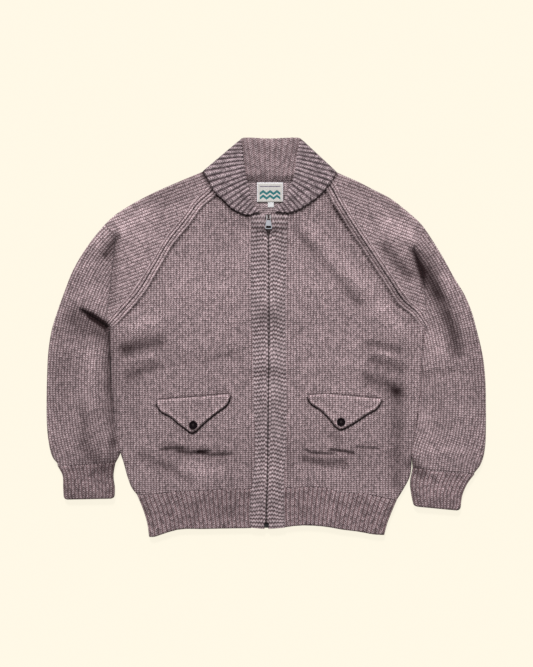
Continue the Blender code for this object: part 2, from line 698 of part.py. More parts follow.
def flap(side, collection):
    """A pocket flap laid on its front, GAP above it, with softened edges."""
    name = "flap_" + side
    rows = FLAPS[side]
    outer_rows = []
    inner_rows = []
    for k, row in enumerate(rows):
        outer = []
        inner = []
        for down in FLAP_ROWS:
            y = row.top + (row.bottom - row.top) * down
            edge = down in (0.0, 1.0) or k in (0, len(rows) - 1)
            outer.append((row.x, y, TOP + GAP + (0.6 if edge else 1.0) * FLAP_THICK))
            inner.append((row.x, y, TOP + GAP))
        outer_rows.append(outer)
        inner_rows.append(inner)
    return wall(name, outer_rows, inner_rows, wool(name), collection)


def block(name, size, centre, bevel, mat, collection):
    """A box with rounded edges."""
    bm = bmesh.new()
    bmesh.ops.create_cube(bm, size=1.0)
    bmesh.ops.scale(bm, vec=[s * MM for s in size], verts=bm.verts[:])
    if bevel:
        bmesh.ops.bevel(bm, geom=bm.edges[:], offset=bevel * MM, segments=2, affect="EDGES")
    bmesh.ops.translate(bm, vec=[c * MM for c in centre], verts=bm.verts[:])
    mesh = bpy.data.meshes.new(name)
    bm.to_mesh(mesh)
    bm.free()
    return add_object(name, mesh, mat, collection)


def cylinder(name, radius, depth, centre, axis, mat, collection, sides=20):
    """A cylinder along X or Z."""
    bm = bmesh.new()
    bmesh.ops.create_cone(bm, cap_ends=True, segments=sides, radius1=radius * MM,
                          radius2=radius * MM, depth=depth * MM)
    if axis == "x":
        turn = np.array([[0, 0, 1], [0, 1, 0], [-1, 0, 0]])
        for v in bm.verts:
            v.co = turn @ np.array(v.co)
    bmesh.ops.translate(bm, vec=[c * MM for c in centre], verts=bm.verts[:])
    bmesh.ops.recalc_face_normals(bm, faces=bm.faces[:])
    mesh = bpy.data.meshes.new(name)
    bm.to_mesh(mesh)
    bm.free()
    return add_object(name, mesh, mat, collection)


def combine(target, tool, operation):
    """Applies an exact Boolean and hides the tool it used."""
    mod = target.modifiers.new(tool.name, "BOOLEAN")
    mod.object = tool
    mod.operation = operation
    mod.solver = "EXACT"


def button(side, collection, cutters):
    name = "button_" + side
    x, y = BUTTONS[side]
    z = TOP + GAP + FLAP_THICK + GAP
    mat = material(name + "_plastic", BUTTON_BROWN, 0.35)
    centre = (x, y, z + BUTTON_THICK / 2)
    disc = cylinder(name, BUTTON_RADIUS, BUTTON_THICK, centre, "z", mat, collection,
                    BUTTON_SIDES)
    dish = cylinder(name + "_dish", BUTTON_RADIUS - 1.8, BUTTON_THICK,
                    (x, y, z + BUTTON_THICK + BUTTON_THICK / 2 - 0.8), "z", mat, cutters,
                    BUTTON_SIDES)
    combine(disc, dish, "DIFFERENCE")
    for k in range(4):
        angle = math.pi / 4 + k * math.pi / 2
        hole_x = x + BUTTON_HOLE_OFF * math.cos(angle)
        hole_y = y + BUTTON_HOLE_OFF * math.sin(angle)
        hole = cylinder("%s_hole_%d" % (name, k), BUTTON_HOLE, 3 * BUTTON_THICK,
                        (hole_x, hole_y, z), "z", mat, cutters, 10)
        combine(disc, hole, "DIFFERENCE")
    return disc


def slider(collection, cutters):
    """The slider's body with the lug and pin that carry the pull tab."""
    x = at(ZIP_LINE, SLIDER_Y)
    mat = material("zip_slider_metal", ZIP_METAL, 0.3, 1.0)
    centre = (x, SLIDER_Y, SLIDER_Z + SLIDER_SIZE[2] / 2)
    body = block("zip_slider", SLIDER_SIZE, centre, 0.9, mat, collection)
    foot_z = SLIDER_Z + SLIDER_SIZE[2] - 1.0
    post = block("slider_post", (LUG_WIDTH, 2 * LUG_RADIUS, HINGE_Z - foot_z),
                 (x, HINGE_Y, (HINGE_Z + foot_z) / 2), 0, mat, cutters)
    head = cylinder("slider_head", LUG_RADIUS, LUG_WIDTH - 0.02, (x, HINGE_Y, HINGE_Z), "x", mat,
                    cutters)
    pin = cylinder("slider_pin", PIN_RADIUS, PIN_LENGTH, (x, HINGE_Y, HINGE_Z), "x", mat,
                   cutters, 12)
    for tool in (post, head, pin):
        combine(body, tool, "UNION")
    return body


def pull_tab(collection, cutters):
    """The pull tab, lying on the bands: a plate with two ears round the slider's pin."""
    x = at(ZIP_LINE, SLIDER_Y)
    mat = material("zip_pull_tab_metal", ZIP_METAL, 0.28, 1.0)
    half = TAB_THICK / 2
    rows = [
        (TAB_START, TAB_TOP_WIDTH), (TAB_START + 1.5, TAB_TOP_WIDTH), (11.0, TAB_FOOT_WIDTH - 1),
        (13.5, TAB_FOOT_WIDTH), (TAB_END - 1.6, TAB_FOOT_WIDTH), (TAB_END - 0.5, TAB_FOOT_WIDTH - 2),
        (TAB_END, TAB_FOOT_WIDTH - 4.5),
    ]
    top = [[(sx * width / 2, -run, half) for sx in (-1, 1)] for run, width in rows]
    under = [[(px, py, -pz) for px, py, pz in row] for row in top]
    tab = wall("zip_pull_tab", top, under, mat, collection)
    tab.location = (x * MM, HINGE_Y * MM, HINGE_Z * MM)
    ear_in = LUG_WIDTH / 2 + GAP
    for sign in (-1, 1):
        ear_x = x + sign * (ear_in + TAB_EAR / 2)
        ear = cylinder("tab_ear_%d" % sign, TAB_EAR_RADIUS, TAB_EAR, (ear_x, HINGE_Y, HINGE_Z),
                       "x", mat, cutters)
        neck = block("tab_neck_%d" % sign, (TAB_EAR - 0.02, TAB_START + 0.6, TAB_THICK - 0.02),
                     (ear_x, HINGE_Y - (TAB_START + 0.6) / 2, HINGE_Z), 0, mat, cutters)
        combine(tab, ear, "UNION")
        combine(tab, neck, "UNION")
    bore = cylinder("tab_bore", PIN_RADIUS + GAP, 3 * PIN_LENGTH, (x, HINGE_Y, HINGE_Z), "x",
                    mat, cutters, 12)
    slot = block("tab_slot", (TAB_SLOT[0], TAB_SLOT[1], 3 * TAB_THICK),
                 (x, HINGE_Y - TAB_SLOT_AT, HINGE_Z), 0, mat, cutters)
    combine(tab, bore, "DIFFERENCE")
    combine(tab, slot, "DIFFERENCE")
    return tab


def labels(collection):
    """The label inside the back neck and the size tab below it."""
    z = KNIT + GAP + LABEL_THICK / 2
    mat = material("label_cloth", LABEL_CREAM, 0.8)
    block("label", LABEL_SIZE + (LABEL_THICK,), LABEL_CENTRE + (z,), 0, mat, collection)
    tab = material("size_tab_cloth", LABEL_CREAM, 0.8)
    block("size_tab", SIZE_TAB_SIZE + (LABEL_THICK,), SIZE_TAB_CENTRE + (z,), 0, tab, collection)


def clear_scene():
    for obj in list(bpy.data.objects):
        bpy.data.objects.remove(obj, do_unlink=True)


def new_collection(name):
    collection = bpy.data.collections.new(name)
    bpy.context.scene.collection.children.link(collection)
    return collection


def main():
    clear_scene()
    parts = new_collection(NAME)
    cutters = new_collection(NAME + "_cutters")
    back(parts)
    hem_back(parts)
    for side in ("right", "left"):
        front(side, parts)
        sleeve(side, parts)
        cuff(side, parts)
        hem_front(side, parts)
        placket(side, parts)
        zip_tape(side, parts)
        flap(side, parts)
        button(side, parts, cutters)
        collar_piece("collar_" + side, WINGS[side], WING_SECTION, WING_RIBS, RIB_CREST,
                     RIB_VALLEY, parts)
    collar_piece("collar_back", BACK_STATIONS, STAND_SECTION, STAND_RIBS, STAND_CREST,
                 STAND_VALLEY, parts)
    slider(parts, cutters)
    pull_tab(parts, cutters)
    block("zip_bottom_box", BOX_SIZE, BOX_CENTRE, 0.5,
          material("zip_bottom_box_plastic", ZIP_BLACK, 0.4), parts)
    labels(parts)
    for tool in cutters.objects:
        tool.hide_render = True
        tool.display_type = "WIRE"


main()
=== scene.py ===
"""Looks of the zip-front shawl collar cardigan, laid flat on its back.

The tables are in millimetres, in the frame's axes: +X is the viewer's right, which is the
wearer's left, +Y runs from the hem to the collar and +Z is up from the floor. Each knitted
piece is a closed wall: a fine outer face whose grid follows the stitches, and a plain inner
face. The stitches are raised in the outer face and drawn again, finer, by the materials.
"""

import math
from collections import namedtuple

import bmesh
import bpy
import numpy as np
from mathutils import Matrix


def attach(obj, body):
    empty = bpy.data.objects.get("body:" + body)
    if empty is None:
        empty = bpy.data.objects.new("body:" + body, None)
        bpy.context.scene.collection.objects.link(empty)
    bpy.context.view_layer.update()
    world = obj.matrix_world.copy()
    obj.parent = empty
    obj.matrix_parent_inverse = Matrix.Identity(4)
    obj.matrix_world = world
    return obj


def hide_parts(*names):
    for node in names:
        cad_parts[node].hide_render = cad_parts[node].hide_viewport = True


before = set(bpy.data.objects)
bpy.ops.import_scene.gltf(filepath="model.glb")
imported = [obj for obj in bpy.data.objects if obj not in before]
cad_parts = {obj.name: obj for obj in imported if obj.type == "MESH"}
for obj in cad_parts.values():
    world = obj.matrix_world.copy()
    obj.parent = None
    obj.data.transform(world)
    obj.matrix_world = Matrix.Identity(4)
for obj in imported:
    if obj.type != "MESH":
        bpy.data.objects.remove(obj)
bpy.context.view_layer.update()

MM = 0.001
BODY = "garment"

# Knitting
WALE = 5.4  # width of a column of stitches
ROW = 4  # height of a row of stitches
PER_WALE = 4  # columns of points in a column of stitches
PER_ROW = 3

# Heights of the laid layers
KNIT = 4
MID = 5.5
TOP = 2 * MID
UNDER = TOP - KNIT
SEWN = 0.3  # between pieces or faces that are sewn or folded together
ROLL = 8  # how far in from a turned side the wall is level again
SIDE_GAP = -1  # negative: the turned sides press together
SEAM_DIP = 1.5  # how deep a seam draws the knitting in
SEAM_WIDTH = 2.4
FAR = 99  # given as the distance to a raglan seam where none is near
DASH_PITCH = 5  # between the dashes of painted shade beside a raglan seam

CAP_ANGLE = 20  # how far below the level the columns of the sleeve's cap run
CAP_WALE = 5.7

ARMPIT_Y = 23
FRONT_TOP_Y = 235
FRONT_END_Y = 291  # past the front's highest row of points
BACK_SHOWN = (222, 297)  # y of the back's fine rows, which show inside the neck
BACK_COLUMNS = (-298, 303)
HEM_TOP_Y = -290

# Outlines, each a list of (y, x) from the hem up
RIGHT = {
    "band": [(-358, -29.4), (-334, -31.5), (-290, -29), (-250, -23.6), (-127, -23.6),
             (-48, -24.8), (48, -28.7), (235, -28.7)],
    "side": [(-296, -243.3), (-287, -250.5), (-264, -260.5), (-237, -268), (-217, -274.4),
             (-162, -284), (-127, -288.7), (-48, -293), (23, -295)],
    "raglan_front": [(23, -295), (48, -272.5), (83, -242), (133, -211), (183, -181),
                     (220, -151), (252, -127), (277, -100), (290, -93.5)],
    "raglan_back": [(23, -295), (83, -240), (183, -168), (250, -108), (298, -64)],
    "sleeve_fold": [(-242, -392), (-223, -403), (-196, -409.5), (-162, -412.6),
                    (-116, -413.2), (-71, -412.2), (-25, -409.8), (13.6, -403.6),
                    (48, -393), (84.5, -380), (125, -364), (160, -344),
                    (188.5, -323.5), (211, -304.5), (229, -285.5), (247.7, -257),
                    (274, -207), (292.4, -165), (307.5, -129), (314, -113)],
    "sleeve_top": {"front": (-87, 296), "back": (-65, 298.5)},
    "sleeve_line": [(-92, 299.5), (-99.5, 286.5), (-135, 257), (-200, 219), (-262, 177), (-303, 130),
                    (-325, 88), (-344, 31), (-355, -33), (-357, -110), (-350, -180),
                    (-340.5, -221), (-337.8, -240.5)],
    "cap_crease": [(-306, 216), (-283, 190), (-286, 160), (-290, 120), (-298, 55), (-302, 10)],
}
LEFT = {
    "band": [(-358, 35.3), (-290, 33.9), (-250, 35.3), (-127, 39.4), (-48, 38.2),
             (48, 36.8), (235, 41.8)],
    "side": [(-305, 246.5), (-283, 259.7), (-267, 268.2), (-219, 274.8), (-172.5, 281.5),
             (-139, 286.2), (-105, 290.9), (-39, 292.8), (23, 299.5)],
    "raglan_front": [(23, 299.5), (48, 281.5), (64, 262.5), (107, 232), (154, 201),
                     (199, 171), (248, 140), (284, 120), (290, 116.5)],
    "raglan_back": [(23, 299.5), (83, 252), (183, 182), (250, 123), (298, 79)],
    "sleeve_fold": [(-258, 391), (-253, 395), (-230, 407), (-203, 412),
                    (-173, 413.2), (-128, 413.2), (-82, 412.2), (-37, 407.6),
                    (13.6, 396), (52, 385), (78, 374), (113, 353), (150, 332.6),
                    (182, 313), (211, 293), (239, 262.5), (262, 232), (278, 201),
                    (293, 172), (306.5, 141), (313, 127)],
    "sleeve_top": {"front": (111, 296), "back": (80, 298.5)},
    "sleeve_line": [(114.5, 300), (122.5, 288), (151, 262), (205, 222), (262, 168), (306, 104),
                    (336, 35), (351, -40), (356, -120), (349, -190), (336.8, -226),
                    (333, -253.8)],
    "cap_crease": [(301, 210), (277, 166), (283, 150), (293, 125), (297, 97), (300, 60), (301, 10)],
}
SIDES = {"right": RIGHT, "left": LEFT}
AWAY = {"right": -1, "left": 1}

HEM_SEAM = [(-250, -295.5), (-210.7, -294.7), (-160, -288.6), (-112, -287), (-45, -285.7),
            (39, -283), (120, -284.7), (139, -290), (186.6, -293.3), (230.8, -302.6),
            (250, -304.5)]
HEM_EDGE = [(-221, -375.2), (-213, -375.5), (-196, -370.5), (-173, -363), (-113, -360.4),
            (-31, -358.8), (33, -357.4), (56, -354.5), (120, -357.5), (139, -361),
            (177, -366), (202, -370.6), (222, -371.8)]
HemRow = namedtuple("HemRow", "down right left")
HEM_ROWS = [
    HemRow(0.00, -243.3, 246.5),
    HemRow(0.38, -231, 235.8),
    HemRow(0.68, -224, 228),
    HemRow(1.00, -220.4, 222),
]
HEM_RIBS = 25
CuffRow = namedtuple("CuffRow", "in_x in_y out_x out_y")
CUFF_ROWS = {
    "right": [
        CuffRow(-283.4, -235.6, -392, -242.6),
        CuffRow(-287, -256.5, -384, -257.5),
        CuffRow(-284.5, -285, -382, -285),
        CuffRow(-285.5, -303.5, -380.8, -305.2),
    ],
    "left": [
        CuffRow(275, -245.6, 391, -258.6),
        CuffRow(270.6, -270, 380, -273),
        CuffRow(271.6, -289, 370, -294),
        CuffRow(277.5, -318.5, 365, -325.8),
    ],
}
CUFF_RIBS = 15

# Collar: the inner fold, the neck seam, the free edge and how far the fold rises
Wing = namedtuple("Wing", "fold_x fold_y seam_x seam_y edge_x edge_y rise")
WINGS = {
    "right": [Wing(*row) for row in (
        (-9.3, 236.8, -26, 236.6, -22.5, 233.2, 0),
        (-19, 243, -37, 240.2, -35.6, 230, 0),
        (-28.5, 257.7, -52, 248.4, -61, 240, 0.3),
        (-33, 281.7, -67, 260.4, -78, 255.5, 1.2),
        (-37.5, 301, -79, 273.5, -91, 267, 3.2),
        (-41.6, 323.7, -87.5, 285.5, -100.5, 279, 4.2),
        (-44, 341.7, -91, 292.5, -109, 295, 4.2),
        (-47.5, 371, -82, 303.6, -119, 311.5, 4.2),
    )],
    "left": [Wing(*row) for row in (
        (14, 237.3, 33, 238, 28, 235, 0),
        (23, 246, 48, 240.2, 45, 234.6, 0),
        (33.6, 257.7, 65, 248.4, 66, 242.5, 0.3),
        (44, 281.7, 84, 260.4, 88, 256.8, 1.2),
        (52, 301, 98, 273.5, 102, 268.5, 3.2),
        (56, 323.7, 109, 285.5, 114, 281, 4.2),
        (58, 341.7, 112.5, 292.5, 122, 291.5, 4.2),
        (64, 371, 98, 303.6, 132, 310, 4.2),
    )],
}
WING_RIBS = 17
STAND = [Wing(*row) for row in (
    (-51.5, 370, -60, 298.8, -118, 314, 0),
    (-43, 375.5, -34, 294.6, -62, 307.5, 0),
    (7, 374.2, 7, 293.6, 7, 307, 0),
    (61, 375.5, 48, 294.6, 78, 307.5, 0),
    (68.5, 371, 74, 298.8, 131, 313, 0),
)]
STAND_RIBS = 15

# Pocket flaps: across, the top edge and the lower edge
Flap = namedtuple("Flap", "x top bottom")
FLAPS = {
    "right": [
        Flap(-205, -118, -128), Flap(-202, -117.7, -134.5), Flap(-195.6, -117.2, -141),
        Flap(-180, -116, -149), Flap(-165, -114.8, -162), Flap(-151, -113.7, -172.5),
        Flap(-144, -113.1, -178), Flap(-139.6, -112.8, -179.6), Flap(-134, -112.3, -177.6),
        Flap(-128, -111.8, -172.5), Flap(-115, -110.8, -159.5), Flap(-93.5, -109.1, -142),
        Flap(-75.5, -107.6, -129.5), Flap(-69.5, -107.2, -120), Flap(-67.6, -107, -112),
    ],
    "left": [
        Flap(79, -109, -116), Flap(81, -108.8, -121.5), Flap(86.4, -108.4, -127),
        Flap(102, -107, -136), Flap(116.7, -106.3, -151), Flap(129.4, -107.8, -167),
        Flap(135, -108.3, -171.6), Flap(139.6, -108.8, -173.2), Flap(145, -109.3, -171.8),
        Flap(152.6, -110.1, -168), Flap(167, -111.6, -159.5), Flap(188.5, -113.6, -145),
        Flap(206, -115.3, -135.5), Flap(213.5, -115.9, -126), Flap(215.7, -116, -121),
    ],
}
FLAP_THICK = 3.4
BUTTONS = {"right": (-137, -164.6), "left": (140.3, -158.8)}

# The label inside the neck and the size tab below it, by their centres
Patch = namedtuple("Patch", "x y width length low")
LABEL = Patch(7.2, 272.6, 48.9, 36.8, 5.1)
SIZE_TAB = Patch(8.7, 250.3, 11.3, 12, 4.6)  # its top end is sewn under the label
PATCH_THICK = 0.6

# Front bands and zip
ZIP_LINE = [(-358, 0.3), (-335, 0.1), (-298, 1.4), (-227, 2.9), (-156, 3.7), (57, 5.2),
            (200, 4.4), (236, 4.3)]
BAND_OPEN = [(-358, 4.2), (-352, 4.2), (-346, 0.7), (188, 0.7), (201, 3.8), (210, 4.9), (235, 4.9)]
BAND_PITCH = 7.7
BAND_ZIGZAG = 0.42  # how far a ridge zigzags, as a share of its pitch
BAND_DROP = {"right": 4.5, "left": 8}  # how far a ridge falls from the zip to the front
# Painted shade (+) and painted light (-) along the bands: y, half the length, and the darkness
BAND_PAINTED_SHADING = [(203, 8, 0.7), (150, 26, -0.16), (85, 34, -0.32), (38, 17, 0.36), (-28, 18, -0.28),
               (-65, 12, 0.42), (-97, 14, -0.24), (-180, 30, 0.08), (-222, 16, 0.16),
               (-253, 20, -0.18), (-330, 30, 0.2)]
BAND_FOOT_Y = -357.6
TOOTH_PITCH = 2  # from tooth to tooth on one side
TEETH_END = (-349, 214)
SLIDER_Y = 223.8
SLIDER_LENGTH = 11.5
HINGE = (4.35, 221.5, 13.6)
SLOT = (4.7, 2.2, 14.7)  # the pull tab's slot: half its width, half its height, and how far down
BAND_TOP_Y = {"right": 229.6, "left": 231.2}

# Folds along a path: how wide, how far the knitting rises (+) or sinks (-), how far it drops
# from the left of the path to its right, and how much painted shade (+) or painted light (-) it gets there
Fold = namedtuple("Fold", "path width height step tone")
FOLDS = [Fold(*row) for row in (
    # the wearer's right sleeve
    ([(-344, 51), (-330, 42), (-316, 33), (-304, 25)], 6.5, -1.4, 1.6, 0.85),
    ([(-328, 39), (-314, 30), (-302, 22)], 8, -1, 1, 0.7),
    ([(-362, 36), (-344, 24), (-316, 6)], 20, -0.8, 0, 0.56),
    ([(-334, 86), (-316, 66)], 13, 1.6, 0, -0.2),
    ([(-280, 188), (-302, 154)], 9, -1.4, 0, 0.75),
    ([(-283, 158), (-285, 110), (-292, 56)], 7, -1.6, 0, 0.3),
    ([(-271, 202), (-224, 230)], 15, 1.6, 0, -0.38),
    ([(-318, 180), (-304, 196)], 13, 0.8, 0, -0.22),
    ([(-238, 150), (-220, 30)], 34, 0.6, 0, -0.05),
    ([(-214, 262), (-134, 292)], 14, -0.4, 0, 0.26),
    ([(-290, -196), (-284, -238)], 10, -0.6, 0, 0.36),
    ([(-143, 268), (-216, 238)], 7, -0.8, 0, 0.2),
    ([(-270, 120), (-272, 60)], 12, 1.4, 0, -0.05),
    ([(-326, -10), (-331, -140)], 11, 2, 0, -0.26),
    ([(-382, 10), (-386, -120)], 20, -0.6, 0, 0.12),
    ([(-297, 10), (-295, -60), (-289, -160), (-284, -195)], 9, 0, 0, 0.36),
    ([(-341, -130), (-341, -212)], 9, -1.2, 0, 0.28),
    ([(-320, -226), (-302, -246)], 19, -1.4, 0, 0.52),
    ([(-368, -196), (-352, -222)], 12, 1.2, 0, -0.1),
    # the wearer's left sleeve
    ([(276, 164), (281, 152), (290, 126), (296, 97)], 6, -2.2, 0, 0.46),
    ([(284, 160), (297, 130), (315, 96), (338, 54), (352, 6), (358, -26)], 16, -1.4, 0, 0.58),
    ([(302, 122), (322, 80)], 21, 0, 0, 0.32),
    ([(338, 40), (352, 4)], 14, -0.4, 0, 0.26),
    ([(224, 168), (246, 143), (266, 118)], 12, -1, 0, 0.55),
    ([(226, 216), (264, 192), (294, 172)], 13, 1.6, 0, -0.46),
    ([(150, 290), (250, 240)], 12, 0.4, 0, 0.16),
    ([(334, 112), (344, 84)], 8, 0.8, 0, -0.34),
    ([(139, 264), (180, 234), (216, 204)], 7, -0.8, 0, 0.1),
    ([(312, -8), (328, -38)], 15, 1.8, 0, -0.26),
    ([(298, -72), (355, -62)], 8, -1.2, 0, 0.2),
    ([(388, 10), (398, -120)], 18, -0.6, 0, 0.14),
    ([(302, -156), (304, -190)], 14, 1.6, 0, -0.24),
    ([(310, -213), (370, -214)], 8, 1.4, 0, -0.26),
    ([(272, -238), (290, -254)], 11, -1.4, 0, 0.56),
    ([(350, 10), (366, -130)], 44, 0.4, 0, -0.12),
    ([(306, -276), (350, -290)], 26, 0.2, 0, -0.26),
    # the fronts
    ([(-264, -22), (-232, -15), (-202, -9)], 14, -1.6, 0, 0.62),
    ([(-256, -72), (-232, -62), (-210, -54)], 11, -1.5, 0, 0.46),
    ([(-262, -45), (-215, -37)], 6, 1.6, 0, -0.16),
    ([(-250, 18), (-214, 30)], 13, 1.2, 0, -0.24),
    ([(-286, -14), (-278, -130)], 20, -0.4, 0, 0.1),
    ([(-256, -30), (-240, -150)], 26, -0.3, 0, 0.15),
    ([(-148, 205), (-168, 170)], 12, -0.3, 0, 0.16),
    ([(-120, 118), (90, 118)], 80, 0.4, 0, -0.13),
    ([(-205, -56), (-120, -48), (-40, -24)], 7, -0.8, 0, 0.16),
    ([(-237, -221), (-190, -244), (-143, -268)], 9, -0.9, 0, 0.28),
    ([(-120, 170), (-160, 60)], 26, 1.2, 0, -0.05),
    ([(72, 208), (130, 150), (190, 90), (222, 52)], 14, 1.6, 0, -0.22),
    ([(58, 199), (106, 142), (146, 94), (176, 62)], 8, -1.4, 0, 0.4),
    ([(128, 244), (176, 182), (218, 122), (266, 56)], 8, -0.5, 0, 0.46),
    ([(214, 52), (246, 22)], 15, 1, 0, -0.32),
    ([(194, -13), (222, -17), (250, -26)], 9, -1.8, 0, 0.46),
    ([(206, -29), (244, -38)], 5, 2, 0, -0.14),
    ([(202, -44), (228, -51), (252, -58)], 10, -1.8, 0, 0.54),
    ([(194, -80), (222, -87), (246, -100)], 14, -1.5, 0, 0.56),
    ([(244, -104), (247, -170), (244, -276)], 15, -0.8, 0, 0.4),
    ([(35, -193), (54, -268)], 10, -0.5, 0, 0.18),
    ([(-62, -322), (-140, -322)], 16, -0.4, 0, 0.07),
    ([(-190, -345), (-214, -352)], 16, 0.4, 0, -0.1),
    ([(-120, -346), (-56, -346)], 22, 0.2, 0, -0.14),
    ([(36, -334), (170, -322)], 26, 0.2, 0, -0.13),
    # where the pocket bags end
    ([(-184, -207), (-140, -214), (-82, -222)], 13, -0.8, 0, 0.26),
    ([(-196, -211), (-176, -208), (-157, -208)], 4.5, -0.8, 0.8, 0.36),
    ([(-163, -215), (-140, -217), (-112, -213)], 4.8, -0.8, 0.8, 0.4),
    ([(-126, -216), (-104, -221), (-66, -219)], 4.8, -0.8, 0.8, 0.34),
    ([(-196, -197), (-110, -200)], 6, 0.8, 0, -0.1),
    ([(-150, -248), (-90, -256)], 13, 1.4, 0, -0.26),
    ([(76, -212), (86, -217), (124, -219)], 3.2, -1.2, 0.8, 0.5),
    ([(122, -211), (145, -214), (163, -217)], 3.6, -1.4, 0.8, 0.7),
    ([(170, -206), (208, -209)], 3.4, -1.2, 0.6, 0.34),
    ([(124, -184), (138, -198)], 8, -0.6, 0, 0.34),
    ([(74, -229), (110, -236), (146, -236)], 9, -0.8, 0, 0.46),
    ([(96, -262), (150, -264)], 12, 1, 0, -0.06),
)]
DEEPEST = -3.2


def bell(offset, width):
    """1 where the offset is 0, and close to 0 beyond twice the width."""
    return np.exp(-((offset / width) ** 2))


def ease(low, high, value):
    """0 below low and 1 above high, smooth between them."""
    t = np.clip((value - low) / (high - low), 0, 1)
    return t * t * (3 - 2 * t)


def turned(distance, reach=ROLL):
    """Share of full height at a distance in from a turned side: a quarter of a circle."""
    t = np.clip(distance / reach, 0, 1)
    return np.sqrt(np.maximum(0, 1 - (1 - t) ** 2))


def rounded_edge(distance, depth=2.6, reach=3):
    """How far the face of a wall drops close to its free edge."""
    return -depth * (1 - turned(distance, reach))


def zigzag(u):
    """1 at each whole number and 0 halfway between two of them."""
    return np.abs(2 * (u - np.floor(u)) - 1)


def ripple(v):
    """1 at each whole number and 0 halfway between two of them, as a cosine."""
    return 0.5 + 0.5 * np.cos(2 * math.pi * v)


def smooth(pairs, place):
    """A smooth curve through (key, value) pairs, read at place, which may be an array."""
    keys, values = np.array(list(pairs), float).T
    tangents = np.gradient(values, keys)
    place = np.asarray(place, float)
    i = np.clip(np.searchsorted(keys, place) - 1, 0, len(keys) - 2)
    span = keys[i + 1] - keys[i]
    t = np.clip((place - keys[i]) / span, 0, 1)
    a = (2 * t ** 3 - 3 * t ** 2 + 1) * values[i] + (t ** 3 - 2 * t ** 2 + t) * span * tangents[i]
    b = (3 * t ** 2 - 2 * t ** 3) * values[i + 1] + (t ** 3 - t ** 2) * span * tangents[i + 1]
    return a + b


def lengths(points):
    """Distance run along a list of points at each of them."""
    return np.concatenate([[0], np.cumsum(np.hypot(*np.diff(np.array(points, float), axis=0).T))])


def polyline(points, step=1):
    """Points every step or so along a smooth curve through a list of (x, y)."""
    run = lengths(points)
    at = np.linspace(0, run[-1], max(2, int(run[-1] / step)))
    return np.stack([smooth(zip(run, column), at) for column in zip(*points)], 1), at


def to_path(x, y, path):
    """Distance to a path, and the distance to its left (+) or right (-)."""
    best = np.full(np.broadcast(x, y).shape, 1e9)
    side = np.zeros(best.shape)
    for (x0, y0), (x1, y1) in zip(path, path[1:]):
        dx, dy = x1 - x0, y1 - y0
        length = math.hypot(dx, dy)
        share = np.clip(((x - x0) * dx + (y - y0) * dy) / length ** 2, 0, 1)
        off = np.hypot(x - x0 - share * dx, y - y0 - share * dy)
        side = np.where(off < best, ((y - y0) * dx - (x - x0) * dy) / length, side)
        best = np.minimum(off, best)
    return best, side


WAVES = np.random.default_rng(7).uniform(size=(14, 4))


def relief(x, y):
    """Height of the folds, and their painted shade and light, with a slight unevenness, over the flat
    garment.
    """
    height = np.zeros(np.broadcast(x, y).shape)
    tone = np.zeros(height.shape)
    for f in FOLDS:
        off, side = to_path(x, y, f.path)
        height += f.height * bell(off, f.width)
        tone += f.tone * bell(off, f.width)
        height += f.step * np.tanh(side / 1.6) * bell(off, 2 * f.width)
    # Waves of slight unevenness: the knitting rises with each, and is painted a little lighter where it
    # rises and a little darker where it sinks.
    for reach, turn, start, more in WAVES:
        angle = math.pi * turn
        phase = (x * math.cos(angle) + y * math.sin(angle)) / (45 + 120 * reach) + start
        wave = np.sin(2 * math.pi * phase) * (0.4 + more)
        height += 0.2 * wave
        tone -= 0.012 * wave
    return np.maximum(height, DEEPEST), tone


# How a kind of knitting rises from its wall, in millimetres: the share of a column that is a
# valley, the roundness of a column, the rows in it, the split between its two legs, how far
# the legs slant, how light the colour stays under the painted shade of a valley, how much of
# the colour's painted light and shade goes with the rows, and how mixed the yarn is
Knit = namedtuple("Knit", "valley column row split slant light rows heather")
STOCKINETTE = Knit(0, 1.1, 0.5, 0.4, 0.5, 0.2, 0.56, 0.9)
RIB = Knit(0.18, 1.1, 0.6, 1.1, 0.8, 0.28, 0.6, 1)
COLLAR_RIB = Knit(0.2, 1.4, 0.7, 0.3, 0.8, 0.28, 0.66, 1)
FINE_RIB = Knit(0.16, 0.6, 0.6, 0.6, 0.8, 0.5, 0.6, 0.8)


def raised(u, v, knit=STOCKINETTE):
    """Height of the stitches at column u and row v."""
    a = zigzag(u) / (1 - knit.valley)
    column = np.sqrt(np.maximum(0, 1 - a ** 2))
    return column * (knit.column + knit.row * ripple(v - knit.slant * a)) - knit.split * bell(a, 0.2)


def purled(u, v):
    """Height of the bumps on the reverse of plain knitting."""
    return 0.55 * np.cos(2 * math.pi * (v + 0.22 * np.cos(2 * math.pi * u)))


def grid(x, y, z):
    """A grid of points from coordinates that broadcast to it."""
    return np.stack(np.broadcast_arrays(x, y, z), 2)


def lifted(points, rise):
    """A grid of points moved along its normals, on its upper side."""
    n = np.cross(np.gradient(points, axis=1), np.gradient(points, axis=0))
    n /= np.maximum(np.linalg.norm(n, axis=2, keepdims=True), 1e-9)
    return points + n * np.sign(n[..., 2].sum()) * rise[..., None]


def clipped(columns, low, high):
    """Columns kept between two edges: their places, and the first and last that each row keeps."""
    first = np.maximum((columns > low).argmax(axis=1) - 1, 0)
    last = np.minimum(len(columns) - (columns < high)[:, ::-1].argmax(axis=1), len(columns) - 1)
    return np.clip(columns, low, high), first, last


def zipper(a, b):
    """Triangles between two rows of vertices of any number, facing as the row a leads."""
    i = j = 0
    faces = []
    while i < len(a) - 1 or j < len(b) - 1:
        if j == len(b) - 1 or (i < len(a) - 1 and (i + 1) / (len(a) - 1) <= (j + 1) / (len(b) - 1)):
            faces.append((a[i + 1], a[i], b[j]))
            i += 1
        else:
            faces.append((a[i], b[j], b[j + 1]))
            j += 1
    return faces


